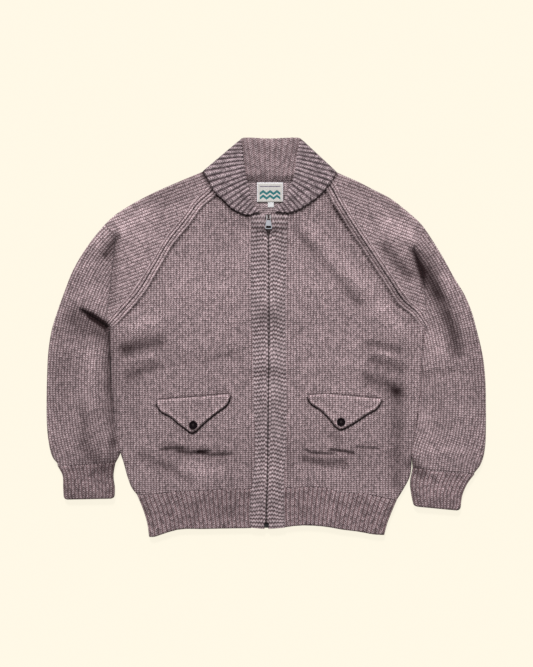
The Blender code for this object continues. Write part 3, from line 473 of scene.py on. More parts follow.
class Face:
    """One face of a wall. It has a grid of points and, for each, its column and row of stitches,
    its place by a raglan seam and its painted shade and light, and the first and last column of each row."""

    def __init__(self, points, u, v, low=0, high=None, seam=(FAR, FAR), painted_shade=0):
        self.points = points
        shape = points.shape[:2]
        high = shape[1] - 1 if high is None else high
        low, high = (np.broadcast_to(end, shape[0])[:, None] for end in (low, high))
        self.own = np.arange(shape[0])[:, None] * shape[1] + np.clip(np.arange(shape[1]), low, high)
        self.marks = np.stack([np.broadcast_to(mark, shape) for mark in (u, v, *seam, painted_shade)], 2)


def wall(name, outer, inner, mat, lining, ring=False):
    """A closed object from an outer and an inner face with the same number of rows."""
    points, marks, index = [], [], []
    base = 0
    for face in (outer, inner):
        used, place = np.unique(face.own, return_inverse=True)
        place = place.reshape(face.own.shape) + base
        index.append(np.concatenate([place, place[:, :1]], axis=1) if ring else place)
        points.append(face.points.reshape(-1, 3)[used])
        marks.append(face.marks.reshape(-1, 5)[used])
        base += len(used)
    points, marks = np.concatenate(points), np.concatenate(marks)
    out, inn = index
    parts = [np.stack([f[:-1, :-1], f[:-1, 1:], f[1:, 1:], f[1:, :-1]], 2).reshape(-1, 4) for f in index]
    parts[1] = parts[1][:, ::-1]
    if not ring:
        parts.append(np.stack([out[:-1, 0], out[1:, 0], inn[1:, 0], inn[:-1, 0]], 1))
        parts.append(np.stack([out[1:, -1], out[:-1, -1], inn[:-1, -1], inn[1:, -1]], 1))
    quads = np.concatenate(parts)
    lined = np.concatenate([np.full(len(part), k == 1, int) for k, part in enumerate(parts)])
    rims = []
    for row, sign in ((0, 1), (-1, -1)):
        a, b = (f[row].tolist() if ring else list(dict.fromkeys(f[row].tolist())) for f in index)
        rims += [t[::sign] for t in zipper(a, b)]
    same = [quads[:, k] == quads[:, (k + 1) % 4] for k in range(4)]
    doubled = sum(s.astype(int) for s in same)
    whole = quads[doubled == 0]
    picks = [(doubled == 1) & s for s in same]
    triangles = np.concatenate([rims] + [np.delete(quads[p], k, axis=1) for k, p in enumerate(picks)])
    kinds = np.concatenate([lined[doubled == 0], np.zeros(len(rims), int)] + [lined[p] for p in picks])
    fans = np.concatenate([whole[:, :3], whole[:, [0, 2, 3]], triangles])
    a, b, c = points[fans].transpose(1, 0, 2)
    if (a * np.cross(b, c)).sum() < 0:
        whole, triangles = whole[:, ::-1], triangles[:, ::-1]
    loops = np.concatenate([whole.ravel(), triangles.ravel()])
    mesh = bpy.data.meshes.new(name)
    mesh.from_pydata((points * MM).tolist(), [], whole.tolist() + triangles.tolist())
    mesh.shade_smooth()
    mesh.polygons.foreach_set("material_index", kinds)
    for layer, first in (("stitch", 0), ("seam", 2)):
        uv = mesh.uv_layers.new(name=layer)
        uv.uv.foreach_set("vector", marks[:, first:first + 2][loops].ravel())
    # painted shade (+) and painted light (-) at each point, for the wool materials
    painted_shade = mesh.attributes.new("painted_shade", "FLOAT", "POINT")
    painted_shade.data.foreach_set("value", marks[:, 4])
    mesh.validate()
    return placed(name, mesh, mat, lining)


def placed(name, mesh, *mats):
    """An object of a mesh in the scene, with its materials."""
    obj = bpy.data.objects.new(name, mesh)
    for mat in mats:
        obj.data.materials.append(mat)
    bpy.context.scene.collection.objects.link(obj)
    return obj


def wear(obj, nodes, body=BODY):
    """The piece rides on its body and stands for its nodes."""
    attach(obj, body)
    if nodes:
        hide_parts(*nodes)


def knitted(node, outer, inner, mats, cut, rests_on, ring=False):
    """A knitted wall that stands for a node."""
    obj = wall(node + "_knit", outer, inner, *mats, ring=ring)
    wear(obj, [node])
    cut.width * MM


# The flat cuts in millimetres, with their areas in square metres
Cut = namedtuple("Cut", "width length area")
FRONT_CUT = Cut(272, 588, 0.118)
BACK_CUT = Cut(598, 602, 0.272)
SLEEVE_CUT = Cut(270, 585, 0.124)
HEM_FRONT_CUT = Cut(216, 90, 0.0148)
HEM_BACK_CUT = Cut(490, 92, 0.0345)
CUFF_CUT = Cut(205, 68, 0.0132)
WING_CUT = Cut(150, 125, 0.0155)
STAND_CUT = Cut(246, 160, 0.0215)
BAND_CUT = Cut(36, 590, None)
FLAP_CUT = Cut(138, 72, 0.0056)

# Materials
WOOL_LIGHT = (0.6, 0.478, 0.495, 1)
# The dark colours are painted shade in the valleys between stitches, ribs and ridges.
WOOL_PAINTED_SHADE = (0.09, 0.04, 0.044, 1)
BAND_PAINTED_SHADE = (0.12, 0.064, 0.07, 1)
COLLAR_PAINTED_SHADE = (0.085, 0.054, 0.064, 1)
# the brown that deep painted shade turns to
PAINTED_SHADE_BROWN = (0.017, 0.007, 0.008, 1)


class Value:
    """An output of a material's nodes. Arithmetic with it adds nodes."""

    def __init__(self, graph, socket):
        self.graph = graph
        self.socket = socket

    def math(self, operation, *others):
        return self.graph.math(operation, self, *others)

    def __add__(self, other):
        return self.math("ADD", other)

    def __sub__(self, other):
        return self.math("SUBTRACT", other)

    def __rsub__(self, other):
        return self.graph.math("SUBTRACT", other, self)

    def __mul__(self, other):
        return self.math("MULTIPLY", other)

    def __truediv__(self, other):
        return self.math("DIVIDE", other)

    def __abs__(self):
        return self.math("ABSOLUTE")

    def below(self, limit):
        return self.math("LESS_THAN", limit)

    def clamp(self, low, high):
        return self.math("MAXIMUM", low).math("MINIMUM", high)

    def floor(self):
        return self.math("FLOOR")

    def zigzag(self):
        return abs(self.math("FRACT") * 2 - 1)

    def ripple(self):
        return (self * (2 * math.pi)).math("COSINE") * 0.5 + 0.5


class Graph:
    """Short calls that add nodes to a material."""

    def __init__(self, name):
        self.mat = bpy.data.materials.new(name)
        self.mat.use_nodes = True
        self.tree = self.mat.node_tree

    def link(self, value, socket):
        if isinstance(value, Value):
            self.tree.links.new(value.socket, socket)
        else:
            socket.default_value = value

    def node(self, kind, output=0, inputs=(), **settings):
        """A new node's output. Its inputs are given by name or place."""
        node = self.tree.nodes.new(kind)
        for key, value in settings.items():
            setattr(node, key, value)
        for key, value in dict(inputs).items():
            self.link(value, node.inputs[key])
        return Value(self, node.outputs[output])

    def math(self, operation, *values):
        return self.node("ShaderNodeMath", inputs=enumerate(values), operation=operation)

    def mix(self, share, a, b):
        return self.node("ShaderNodeMix", 2, {0: share, 6: a, 7: b}, data_type="RGBA")

    def uv(self, layer):
        """The two numbers of a layer."""
        vector = self.node("ShaderNodeUVMap", uv_map=layer)
        return [self.node("ShaderNodeSeparateXYZ", k, {0: vector}) for k in (0, 1)]

    def vector(self, x, y):
        return self.node("ShaderNodeCombineXYZ", 0, {0: x, 1: y})

    def noise(self, scale, detail=2, vector=None):
        """Noise at a vector or, without one, at the place in metres."""
        vector = vector or self.node("ShaderNodeTexCoord", "Object")
        return self.node("ShaderNodeTexNoise", "Fac", {"Scale": scale, "Detail": detail, "Vector": vector})

    def finish(self, **inputs):
        """Sets the shader's inputs, named with lines for spaces, and gives the material."""
        for key, value in inputs.items():
            self.link(value, self.tree.nodes["Principled BSDF"].inputs[key.replace("_", " ")])
        return self.mat

    def bump(self, height, distance, strength):
        return self.node("ShaderNodeBump", 0, {"Distance": distance, "Strength": strength, "Height": height})

    def yarn(self, cell, own, u, v, marl):
        """Shade of a stitch's leg: its own and a marled part, each from a gain and a base."""
        shade = self.node("ShaderNodeTexWhiteNoise", "Value", {"Vector": cell}, noise_dimensions="2D")
        return (shade * own[0] + own[1]) * (self.noise(1, 3, self.vector(u, v)) * marl[0] + marl[1])

    def wool(self, colour, shade, tint, height, depth, strength):
        """Dull, slightly downy yarn, painted brown where shade falls in creases and other shaded places, and
        painted lighter where light falls beside them.
        """
        painted_shade = self.node("ShaderNodeAttribute", "Fac", attribute_name="painted_shade")
        # painted light where the painted shade is below 0; deep painted shade turns brown below
        shade = shade * (tint - painted_shade.math("MINIMUM", 0))
        shaded = self.node("ShaderNodeVectorMath", 0, {0: colour, "Scale": shade}, operation="SCALE")
        fibres = self.noise(1400) * 0.3
        return self.finish(
            Base_Color=self.mix(painted_shade.clamp(0, 0.98), shaded, PAINTED_SHADE_BROWN), Roughness=0.95,
            Specular_IOR_Level=0.06, Sheen_Weight=0.03, Sheen_Roughness=0.6,
            Normal=self.bump(height + fibres, depth, strength))


def knit_material(name, knit, purl=False, tint=1, painted_dark=WOOL_PAINTED_SHADE):
    """Heathered wool: the yarn of each stitch in its own tone, with painted shade between the stitches and
    between their two legs.
    """
    g = Graph(name)
    u, v = g.uv("stitch")
    near, along = g.uv("seam")
    band = near.below(2 * WALE)
    u = u * (1 - band) + near / WALE * band
    v = v * (1 - band) + along / ROW * band
    v = v + (g.noise(32, 1) - 0.5) * (1.6 * (1 - purl))
    if purl:
        phase = v + (u * (2 * math.pi)).math("COSINE") * 0.22
        column, split = 0.9, 0
    else:
        a = u.zigzag() / (1 - knit.valley)
        phase = v - a * knit.slant
        column = (1 - a * a).math("MAXIMUM", 0).math("POWER", 0.8)
        split = (a * a * -30).math("EXPONENT")
    lit = g.math("MAXIMUM", column, knit.light)
    height = lit * (phase.ripple() * knit.rows + (1 - knit.rows)) - split * (0.1 + 0.3 * knit.split)
    mixed = knit.heather
    shade = g.yarn(g.vector((u * 2).floor(), phase.floor()), (0.9 * mixed, 1.02 - 0.45 * mixed),
                   u * 2.3, phase * 2.1, (1.7 * mixed, 1.01 - 0.85 * mixed))
    # painted shade in the valleys between stitches, and the yarn's own colour on their crests
    colour = g.mix(height.clamp(0, 1).math("POWER", 1.1), painted_dark, WOOL_LIGHT)
    return g.wool(colour, shade * (g.noise(9) * 0.36 + 0.83), tint, height, 0.0014, 1)


def band_material(name):
    """Garter ridges of the front bands, bent into a zigzag, with painted shade between the ridges."""
    g = Graph(name)
    u, v = g.uv("stitch")
    phase = v + u.zigzag() * BAND_ZIGZAG
    shade = g.yarn(g.vector((u * 2).floor(), (phase + 0.5).floor()), (0.6, 0.7),
                   u * 1.7, phase * 1.2, (1.1, 0.45))
    faint = (g.noise(22, 1) * 1.8 - 0.75).clamp(0, 0.55)
    ridge = phase.ripple().math("POWER", 0.5)
    ridge = ridge + (0.72 - ridge) * faint
    # painted shade between the ridges
    return g.wool(g.mix(ridge, BAND_PAINTED_SHADE, WOOL_LIGHT), shade * 0.66, 1, phase.ripple(), 0.001, 0.8)


def plain_material(name, colour, roughness, metallic=0, grain=500, depth=0.0001, gloss=0.5):
    """A plain finish with a fine grain in its bump and a slight change of shade."""
    g = Graph(name)
    fine = g.noise(grain, 3)
    low, high = (tuple(min(1, c * gain) for c in colour) + (1,) for gain in (0.8, 1.15))
    return g.finish(Base_Color=g.mix(g.noise(60), low, high), Roughness=fine * 0.2 + (roughness - 0.1),
                    Metallic=metallic, Specular_IOR_Level=gloss, Normal=g.bump(fine, depth, 0.5))


# The label: its sewn border, and its zigzags and its rule, measured from its centre
LABEL_BORDER = 1.7
MARK_REACH = 19.5
ZIGZAG_PITCH = 13
ZIGZAG_RISE = 5
ZIGZAGS_Y = (-0.5, -9)
RULE_Y = 11


def label_material(name, ground, edge, mark=None, line=None):
    """A satin weave with a lighter woven edge, sewn round, and zigzags where they're asked for."""
    g = Graph(name)
    u, v = g.uv("stitch")
    border = abs(u).math("GREATER_THAN", LABEL.width / 2 - LABEL_BORDER)
    border = border.math("MAXIMUM", v.math("GREATER_THAN", LABEL.length / 2 - LABEL_BORDER))
    colour = g.mix(g.noise(260), tuple(c * 0.84 for c in ground) + (1,), ground + (1,))
    colour = g.mix(border, colour, edge + (1,))
    if mark:
        inside = abs(u).below(MARK_REACH)
        for middle in ZIGZAGS_Y:
            spine = (u / ZIGZAG_PITCH).zigzag() * ZIGZAG_RISE + (middle - ZIGZAG_RISE / 2)
            colour = g.mix(abs(v - spine).below(2.5) * inside, colour, mark + (1,))
        colour = g.mix(abs(v - RULE_Y).below(0.9) * inside, colour, line + (1,))
    weave = (u * 15).math("SINE") + (v * 11).math("SINE")
    return g.finish(Base_Color=colour, Roughness=0.7, Normal=g.bump(weave, 0.00008, 0.6))


PLAIN = knit_material("wool_stockinette", STOCKINETTE, tint=0.95)
REVERSE = knit_material("wool_reverse", STOCKINETTE, purl=True, tint=0.85)
RIBBED = knit_material("wool_rib", RIB, tint=0.79)
COLLARED = knit_material("wool_collar_rib", COLLAR_RIB, tint=1, painted_dark=COLLAR_PAINTED_SHADE)
RIBBED_FINE = knit_material("wool_fine_rib", FINE_RIB, tint=0.94)
BANDED = band_material("wool_band")
BUTTON = plain_material("button_polish", (0.004, 0.001, 0.0025), 0.42, gloss=0.12)
THREAD = plain_material("button_thread", (0.05, 0.035, 0.035), 0.8)
# painted light: the rails take a light, mostly plain copy of the zip's metal, which stays bright where the
# collar shades them
PAINTED_LIT_RAIL = plain_material("zip_rail_painted_light", (0.74, 0.7, 0.71), 0.5, 0.35, 900, 0.00004)
METAL = plain_material("zip_metal_finish", (0.62, 0.63, 0.68), 0.5, 1, 900, 0.00004)
TEETH = plain_material("zip_teeth_finish", (0.1, 0.075, 0.075), 0.5, 1, 900, 0.00005)
TAPE = plain_material("zip_tape_weave", (0.036, 0.022, 0.022), 0.85, 0, 1500, 0.0003)
BLACK = plain_material("zip_box_plastic", (0.006, 0.005, 0.006), 0.55)
LABEL_WEAVE = label_material("label_weave", (0.69, 0.66, 0.62), (0.84, 0.82, 0.84),
                             (0.014, 0.165, 0.18), (0.16, 0.13, 0.19))
TAB_WEAVE = label_material("size_tab_weave", (0.86, 0.86, 0.86), (0.86, 0.86, 0.86))


NECK_X = 4.3  # middle of the neck


# Knitted pieces
def below_armpit(y):
    """1 where the garment's side is turned down, and 0 where its raglan seam runs."""
    return 1 - ease(8, 40, y)


def side_x(side, ys, raglan):
    """The body's side or, above the armpit, its raglan seam, for rows that follow the hem."""
    outline = SIDES[side]
    y = hem_sink(ys, smooth(outline["side"], ys))
    return np.where(y <= ARMPIT_Y, smooth(outline["side"], y), smooth(outline[raglan], y))


def neck_x(side, y):
    """The front's inner edge: at the band, and above it at the neck seam."""
    band = SIDES[side]["band"]
    seam = [(FRONT_TOP_Y, band[-1][1])]
    seam += [(w.seam_y, w.seam_x + AWAY[side] * SIDE_GAP) for w in WINGS[side][1:7]]
    return np.where(y <= FRONT_TOP_Y, smooth(band, y), smooth(seam, y))


def hem_sink(y, x):
    """y moved so that the rows near the hem follow its seam."""
    return y + ease(-200, HEM_TOP_Y, y) * (smooth(HEM_SEAM, x) - HEM_TOP_Y)


def seam_groove(distance):
    """How far a seam draws the knitting in."""
    return -SEAM_DIP * bell(distance, SEAM_WIDTH)


def seam_stripes(distance):
    """The two raised columns that run along each side of a raglan seam."""
    inside = 1 - ease(2 * WALE - 0.6, 2 * WALE + 0.8, distance)
    return inside * (0.7 - 1.5 * bell(distance - WALE, 1.3))


def seam_lines(distance, seam, column):
    """Painted shade in a raglan seam and between its two columns, and painted light over the columns."""
    return (seam * bell(distance, 1.6) + column * bell(distance - WALE, 1.1)
            - 0.26 * (distance < 2 * WALE))


def under_flap(side, x, y):
    """How close a point is to the flap's lower edge, and its part in the shade there."""
    off = to_path(x, y, [(r.x, r.bottom) for r in FLAPS[side]])[0]
    return bell(off, 2.6), bell(off, 3.4 + 0.7 * np.sin(x * 0.9) + 0.4 * np.sin(x * 2.1 + 1))


def above_flap(side, x, y):
    """How close a point is to the seam along the flap's top."""
    return bell(to_path(x, y, [(r.x, r.top + 1) for r in FLAPS[side][::7]])[0], 1.8)


def under_collar(side, x, y):
    """Painted shadow beside the collar's free edge, which lies over the piece."""
    off = to_path(x, y, [(w.edge_x, w.edge_y) for w in WINGS[side]])[0]
    return {"right": 1, "left": 0.75}[side] * ease(18, 40, np.abs(x - NECK_X)) * bell(off, 5.6)


def front(side):
    """A front: turned down at its side, and sewn to the sleeve above the armpit."""
    away = AWAY[side]
    ys = np.arange(HEM_TOP_Y, FRONT_END_Y, ROW / PER_ROW)[:, None]
    x_in = neck_x(side, ys) + away * SIDE_GAP
    x_out = side_x(side, ys, "raglan_front")
    start = SIDES[side]["band"][-1][1] - away * 12
    count = int(abs(x_out).max() - abs(start)) * PER_WALE // int(WALE) + 4
    x, first, last = clipped(away * start + np.arange(count) * WALE / PER_WALE, away * x_in, away * x_out)
    x = x * away
    y = hem_sink(ys, x)
    to_side = np.abs(x_out - x) / np.sqrt(1 + np.gradient(x_out[:, 0], ys[:, 0])[:, None] ** 2)
    to_hem = y - smooth(HEM_SEAM, x)
    is_side = below_armpit(ys)
    u, v, seam_v = away * (x - start) / WALE, y / ROW, ys * 1.3 / ROW
    at_seam = (ys > 20) & (to_side < 2 * WALE)
    rise = 0.8 * np.where(at_seam, raised(to_side / WALE, seam_v), raised(u, v)) - 0.5
    folds, tone = relief(x, y)
    lower_edge, shadow = under_flap(side, x, y)
    top_edge = above_flap(side, x, y)
    raglan = seam_groove(to_side) + seam_stripes(to_side) - 1.6 * bell(to_side - 13.5, 2.8)
    rise = (rise + folds - 1.6 * lower_edge - 1.4 * top_edge + raglan * (1 - is_side)
            + 0.5 * seam_groove(np.abs(x - x_in)) + 0.4 * seam_groove(to_hem))
    z = MID + MID * (turned(to_side) * is_side + 1 - is_side)
    z = z + rise * np.where(is_side > 0.5, np.clip(to_side / 5, 0, 1), 1)
    dashes = 0.1 + 0.9 * ripple((ys + 0.3 * to_side) / DASH_PITCH)
    # painted shade and light of the raglan seam, with dashes of painted shade in the trough beside it
    lines = seam_lines(to_side, 0.5, 0.28) + 0.7 * dashes * bell(to_side - 13, 3)
    # painted shading of the front: the folds', a painted shadow under the flap's lower edge, painted shade
    # in the seam along the flap's top and under the collar's free edge, lighter just above the hem seam, and
    # darker towards the hem
    tone = (tone + 0.95 * shadow + 0.45 * top_edge + lines * (1 - is_side) - 0.16 * bell(to_hem - 1.5, 1.8)
            + 0.04 + 0.1 * ease(-150, -230, y) + under_collar(side, x, y))
    seam = (np.where(ys > 20, to_side, FAR), seam_v * ROW)
    outer = Face(grid(x, y, z), u, v, first, last, seam, tone)
    share = np.linspace(0, 1, 9)
    qx = x_in + (x_out - away * KNIT * is_side - x_in) * share
    qz = np.where((share == 1) & (is_side > 0.5), MID + SEWN / 2, UNDER)
    inner = Face(grid(qx, hem_sink(ys, qx), qz), qx / WALE, ys / ROW)
    knitted("front_" + side, outer, inner, (PLAIN, REVERSE), FRONT_CUT, "back_panel")


INSETS = (0.6, 2.2, 4.5, ROLL)  # columns of points close to a turned side
RIB_INSETS = (0.8, 2.2, 4.5, ROLL)


def rolled(low, high, shares, insets):
    """Places across a lower face, close together where its sides turn up."""
    insets = np.array((0,) + insets)
    middle = low + ROLL + (high - low - 2 * ROLL) * shares[1:-1]
    return np.concatenate([low + insets, middle, high - insets[::-1]], axis=1)


def back():
    """The back: its fine face is the inner one, which shows inside the neck."""
    fine = np.arange(*BACK_SHOWN, ROW / PER_ROW)
    ys = np.concatenate([np.linspace(HEM_TOP_Y, BACK_SHOWN[0] - 7, 64), fine])[:, None]
    x_low, x_high = (side_x(side, ys, "raglan_back") for side in ("right", "left"))
    x, first, last = clipped(np.arange(*BACK_COLUMNS, WALE / 2), x_low, x_high)
    y = hem_sink(ys, x)
    is_side = below_armpit(ys)
    at_turn = (is_side > 0.5) & (np.minimum(x - x_low, x_high - x) < 4)
    show = ease(BACK_SHOWN[0] - 7, BACK_SHOWN[0] + 3, ys)
    z = np.where(at_turn, MID - SEWN / 2, KNIT) + show * (purled(x / WALE, y / ROW) + 0.3)
    label_foot = LABEL.y - LABEL.length / 2
    off = np.abs(x - LABEL.x) - LABEL.width / 2
    # painted shadows below and beside the label and under the collar's stand, and painted shade beside the
    # collar's inner folds
    tone = (0.8 * bell(y - label_foot + 0.6, 1.9) * (off < 0.5)
            + 0.35 * bell(off - 0.8, 1.6) * (y > label_foot) + 0.55 * ease(289, 293, y))
    for table in WINGS.values():
        tone = tone + 0.3 * bell(to_path(x, y, [(w.fold_x, w.fold_y) for w in table])[0], 4.5)
    upper = Face(grid(x, y, z), x / WALE, y / ROW, first, last, painted_shade=np.where(show > 0, tone, 0))
    qx = rolled(x_low, x_high, np.linspace(0, 1, 8), INSETS)
    qy = hem_sink(ys, qx)
    qz = (MID - SEWN) * (1 - turned(np.minimum(qx - x_low, x_high - qx))) * is_side
    # the lower face takes a weaker copy of the folds' painted shading
    lower = Face(grid(qx, qy, qz), qx / WALE, qy / ROW, painted_shade=0.6 * relief(qx, qy)[1])
    knitted("back_panel", upper, lower, (REVERSE, PLAIN), BACK_CUT, "floor")


SLEEVE_REACH = (-45, 130)  # how far the sleeve's edges may lie from its centre line
CLOSE_LENGTH = 26  # over which the sleeve's end narrows to its cuff


def crossings(centre, along, outward, line, sign):
    """Where a line crosses each row of the sleeve, as a distance outward from its centre."""
    found = []
    for c, t, n in zip(centre, along, outward):
        a, b = (line - c) @ t, (line - c) @ n
        hit = np.nonzero(a[:-1] * a[1:] <= 0)[0]
        share = a[hit] / np.where(a[hit] - a[hit + 1] == 0, 1, a[hit] - a[hit + 1])
        values = b[hit] + (b[hit + 1] - b[hit]) * share
        values = values[(sign * values > SLEEVE_REACH[0]) & (sign * values < SLEEVE_REACH[1])]
        if not found:
            found.append(sign * max(sign * values) if len(values) else 0)
        else:
            found.append(values[np.abs(values - found[-1]).argmin()] if len(values) else found[-1])
    return np.array(found)[:, None]


def sleeve_edge(side, leaf):
    """The sleeve's edge on the front or on the back, from the cuff to the neck."""
    outline = SIDES[side]
    away = AWAY[side]
    cuff_end = CUFF_ROWS[side][0]
    low = [(cuff_end.in_x, cuff_end.in_y - 2)]
    low += [(x + away * SIDE_GAP, y) for y, x in outline["side"] if y > cuff_end.in_y + 10]
    high = [(x + away * 0.4, y) for y, x in outline["raglan_" + leaf]][1:-1]
    top = [outline["sleeve_top"][leaf], outline["sleeve_fold"][-1][::-1]]
    return np.concatenate([polyline(part)[0] for part in (low, [low[-1]] + high + [top[0]], top)])


def sleeve(side):
    """A sleeve as one wall: the upper leaf, the outer fold and the lower leaf."""
    away = AWAY[side]
    outline = SIDES[side]
    line, run = polyline(outline["sleeve_line"], ROW / PER_ROW)
    along = np.gradient(line, axis=0)
    along /= np.linalg.norm(along, axis=1, keepdims=True)
    outward = np.stack([-along[:, 1], along[:, 0]], 1)
    outward *= np.sign(outward[len(outward) // 2, 0]) * away
    run = run[:, None]
    out = crossings(line, along, outward, polyline([(x, y) for y, x in outline["sleeve_fold"]])[0], 1)
    into, behind = (np.minimum(crossings(line, along, outward, sleeve_edge(side, leaf), -1), out - 0.5)
                    for leaf in ("front", "back"))
    top = CUFF_ROWS[side][0]
    close = ease(run[-1] - CLOSE_LENGTH, run[-1], run)

    def place(d, edge):
        """(x, y) at a distance outward, drawn to the top of the cuff near the sleeve's end."""
        share = ((d - edge) / (out - edge))[-1:]
        x, y = (line[:, k:k + 1] + outward[:, k:k + 1] * d for k in (0, 1))
        goal_x = top.in_x + (top.out_x - top.in_x) * share
        goal_y = top.in_y - 1 + (top.out_y - top.in_y) * share
        return x, y, x + close * (goal_x - x[-1:]), y + close * (goal_y - y[-1:])

    step = WALE / PER_WALE
    columns = np.arange(math.floor(into.min() / step), math.ceil(out.max() / step) + 1) * step
    d, first, last = clipped(columns, into, out)
    x, y, near_x, near_y = place(d, into)
    edge_y = line[:, 1:] + outward[:, 1:] * into
    is_side = below_armpit(edge_y)
    to_in = d - into
    folds, tone = relief(x, y)
    # painted shading of the sleeve: the folds', the raglan seam's, painted shade along the turned side by
    # the body and under the collar's free edge, darker towards the cuff and lighter at the top
    lines = seam_lines(to_in, 0.35, 0.25) + 0.2 * bell(to_in - 2 * WALE, 1.1)
    beside = {"right": 0.25, "left": 0.12}[side] * bell(to_in, 4) * ease(-130, -20, edge_y)
    tone = (tone + lines * (1 - is_side) + beside * is_side + under_collar(side, x, y)
            + 0.15 * ease(60, -60, y) - 0.06 * ease(150, 230, y))
    slope = math.radians(CAP_ANGLE)
    in_cap = (to_path(x, y, outline["cap_crease"])[1] * away < 0) & (y > 10)
    u = np.where(in_cap, (away * x * math.sin(slope) + y * math.cos(slope)) / CAP_WALE, d / WALE)
    v = np.where(in_cap, (away * x * math.cos(slope) - y * math.sin(slope)) / ROW, run / ROW)
    rise = np.where((edge_y > 20) & (to_in < 2 * WALE), raised(to_in / WALE, v), raised(u, v))
    rise = (rise * np.where(in_cap, 0.3, 0.75) - 0.5 + folds + seam_groove(run[-1] - run)
            + (seam_groove(to_in) + seam_stripes(to_in)) * (1 - is_side))
    soft = np.clip(np.minimum(out - d, np.where(is_side > 0.5, to_in, 9)) / 5, 0.15, 1)
    roll = turned(out - d) * (turned(to_in) * is_side + 1 - is_side)
    upper = grid(near_x, near_y, MID + MID * roll + rise * soft)

    deep = out - behind
    fit = np.minimum(1, deep / (2.5 * ROLL))
    near = np.array(RIB_INSETS) * fit
    far = deep - np.array(RIB_INSETS[::-1] + (0,)) * fit
    middle = near[:, -1:] + (far[:, :1] - near[:, -1:]) * np.linspace(0, 1, 9)[1:-1]
    across = np.concatenate([near, middle, far], axis=1)
    low_roll = turned(across / fit) * (turned((deep - across) / fit) * is_side + 1 - is_side)
    lower = grid(*place(out - across, behind)[2:], (MID - SEWN / 2) * (1 - low_roll))

    def both(a, b):
        """A mark of the upper leaf, and beside it one of the lower leaf."""
        return np.concatenate([np.broadcast_to(a, d.shape), np.broadcast_to(b, across.shape)], axis=1)

    upper = np.where((np.arange(len(columns)) > last[:, None])[..., None],
                     upper[np.arange(len(run)), last][:, None, :], upper)
    outer = Face(np.concatenate([upper, lower], axis=1), both(u, (out + across) / WALE),
                 both(v, run / ROW), first, painted_shade=both(tone, 0),
                 seam=(both(np.where(edge_y > 20, to_in, FAR), FAR), both(run, FAR)))
    q = np.linspace(0, 1, 5)
    top_a = into + KNIT * is_side
    top_b = np.maximum(out - 9, top_a + 0.2)
    low_a = behind + KNIT * is_side
    low_b = np.maximum(top_b, low_a + 0.2)
    qd = np.concatenate([top_a + (top_b - top_a) * q, np.maximum(out - 4, top_b + 0.1),
                         low_b + (low_a - low_b) * q], axis=1)
    levels = np.array([UNDER] * 5 + [MID] + [KNIT] * 5) + 0 * qd
    levels[:, :1] = np.where(is_side > 0.5, MID + SEWN / 2, UNDER)
    levels[:, -1:] = np.where(is_side > 0.5, MID - SEWN / 2, KNIT)
    edge = np.concatenate([np.repeat(into, 6, axis=1), np.repeat(behind, 5, axis=1)], axis=1)
    inner = Face(grid(*place(qd, edge)[2:], levels), qd / WALE, run / ROW)
    knitted("sleeve_" + side, outer, inner, (PLAIN, REVERSE), SLEEVE_CUT, "floor")


HEM_FALL = 73  # from the hem's seam to its edge
HEM_STITCHES = 17


def hem_y(x, down):
    """y of a point of the hem, by its share of the way down from the seam."""
    return (smooth(HEM_SEAM, x) - SEWN) * (1 - down) + smooth(HEM_EDGE, x) * down


def hem_x(side, downs):
    """The hem's side at a share of the way down."""
    return smooth([(row.down, getattr(row, side)) for row in HEM_ROWS], downs)


def rib_level(u, v, to_side, more, limit=4):
    """Height of a ribbed upper face that is turned down at its sides."""
    rise = (raised(u, v, RIB) - 1) * 0.9 + more
    return MID + MID * turned(to_side, 6) + rise * np.clip(to_side / limit, 0.1, 1)


def hem_front(side):
    """The ribbed hem under a front."""
    away = AWAY[side]
    downs = np.linspace(0, 1, 52)[:, None]
    share = np.linspace(0, 1, HEM_RIBS * 8 + 1)
    x_out = hem_x(side, downs)
    x_in = smooth(SIDES[side]["band"], -284.5 - HEM_FALL * downs) + away * SIDE_GAP
    x = x_in + (x_out - x_in) * share
    y = hem_y(x, downs)
    to_foot = y - smooth(HEM_EDGE, x)
    u, v = share * HEM_RIBS + 0.5, y / ROW
    more = 0.5 * bell(downs - 0.35, 0.4) + 0.4 * seam_groove(downs * HEM_FALL) + rounded_edge(to_foot)
    # painted shade along the hem's rounded lower edge; lighter along its seam
    tone = relief(x, y)[1] - 0.14 * bell(downs * HEM_FALL, 2) + 0.35 * bell(to_foot, 1.6)
    outer = Face(grid(x, y, rib_level(u, v, np.abs(x_out - x), more)), u, v, painted_shade=tone)
    q = np.linspace(0, 1, 12)
    qx = x_in + (x_out - away * KNIT - x_in) * q
    qz = np.where(q == 1, MID + SEWN / 2, UNDER)
    inner = Face(grid(qx, hem_y(qx, downs), qz), qx / WALE, downs * HEM_STITCHES)
    knitted("hem_front_" + side, outer, inner, (RIBBED, RIBBED), HEM_FRONT_CUT, "hem_back")


def hem_back():
    """The ribbed hem under the back."""
    downs = np.linspace(0, 1, 30)[:, None]
    share = np.linspace(0, 1, 60)
    low, high = hem_x("right", downs), hem_x("left", downs)
    qx = low + KNIT + (high - low - 2 * KNIT) * share
    qz = np.where((share == 0) | (share == 1), MID - SEWN / 2, KNIT)
    upper = Face(grid(qx, hem_y(qx, downs), qz), share * 2 * HEM_RIBS, downs * HEM_STITCHES)
    x = rolled(low, high, share, RIB_INSETS)
    z = (MID - SEWN) * (1 - turned(np.minimum(x - low, high - x)))
    lower = Face(grid(x, hem_y(x, downs), z), (x - low) / (high - low) * 2 * HEM_RIBS, downs * HEM_STITCHES)
    knitted("hem_back", upper, lower, (RIBBED, RIBBED), HEM_BACK_CUT, "floor")


CUFF_CORNER = 7  # radius of the cuff's lower corners


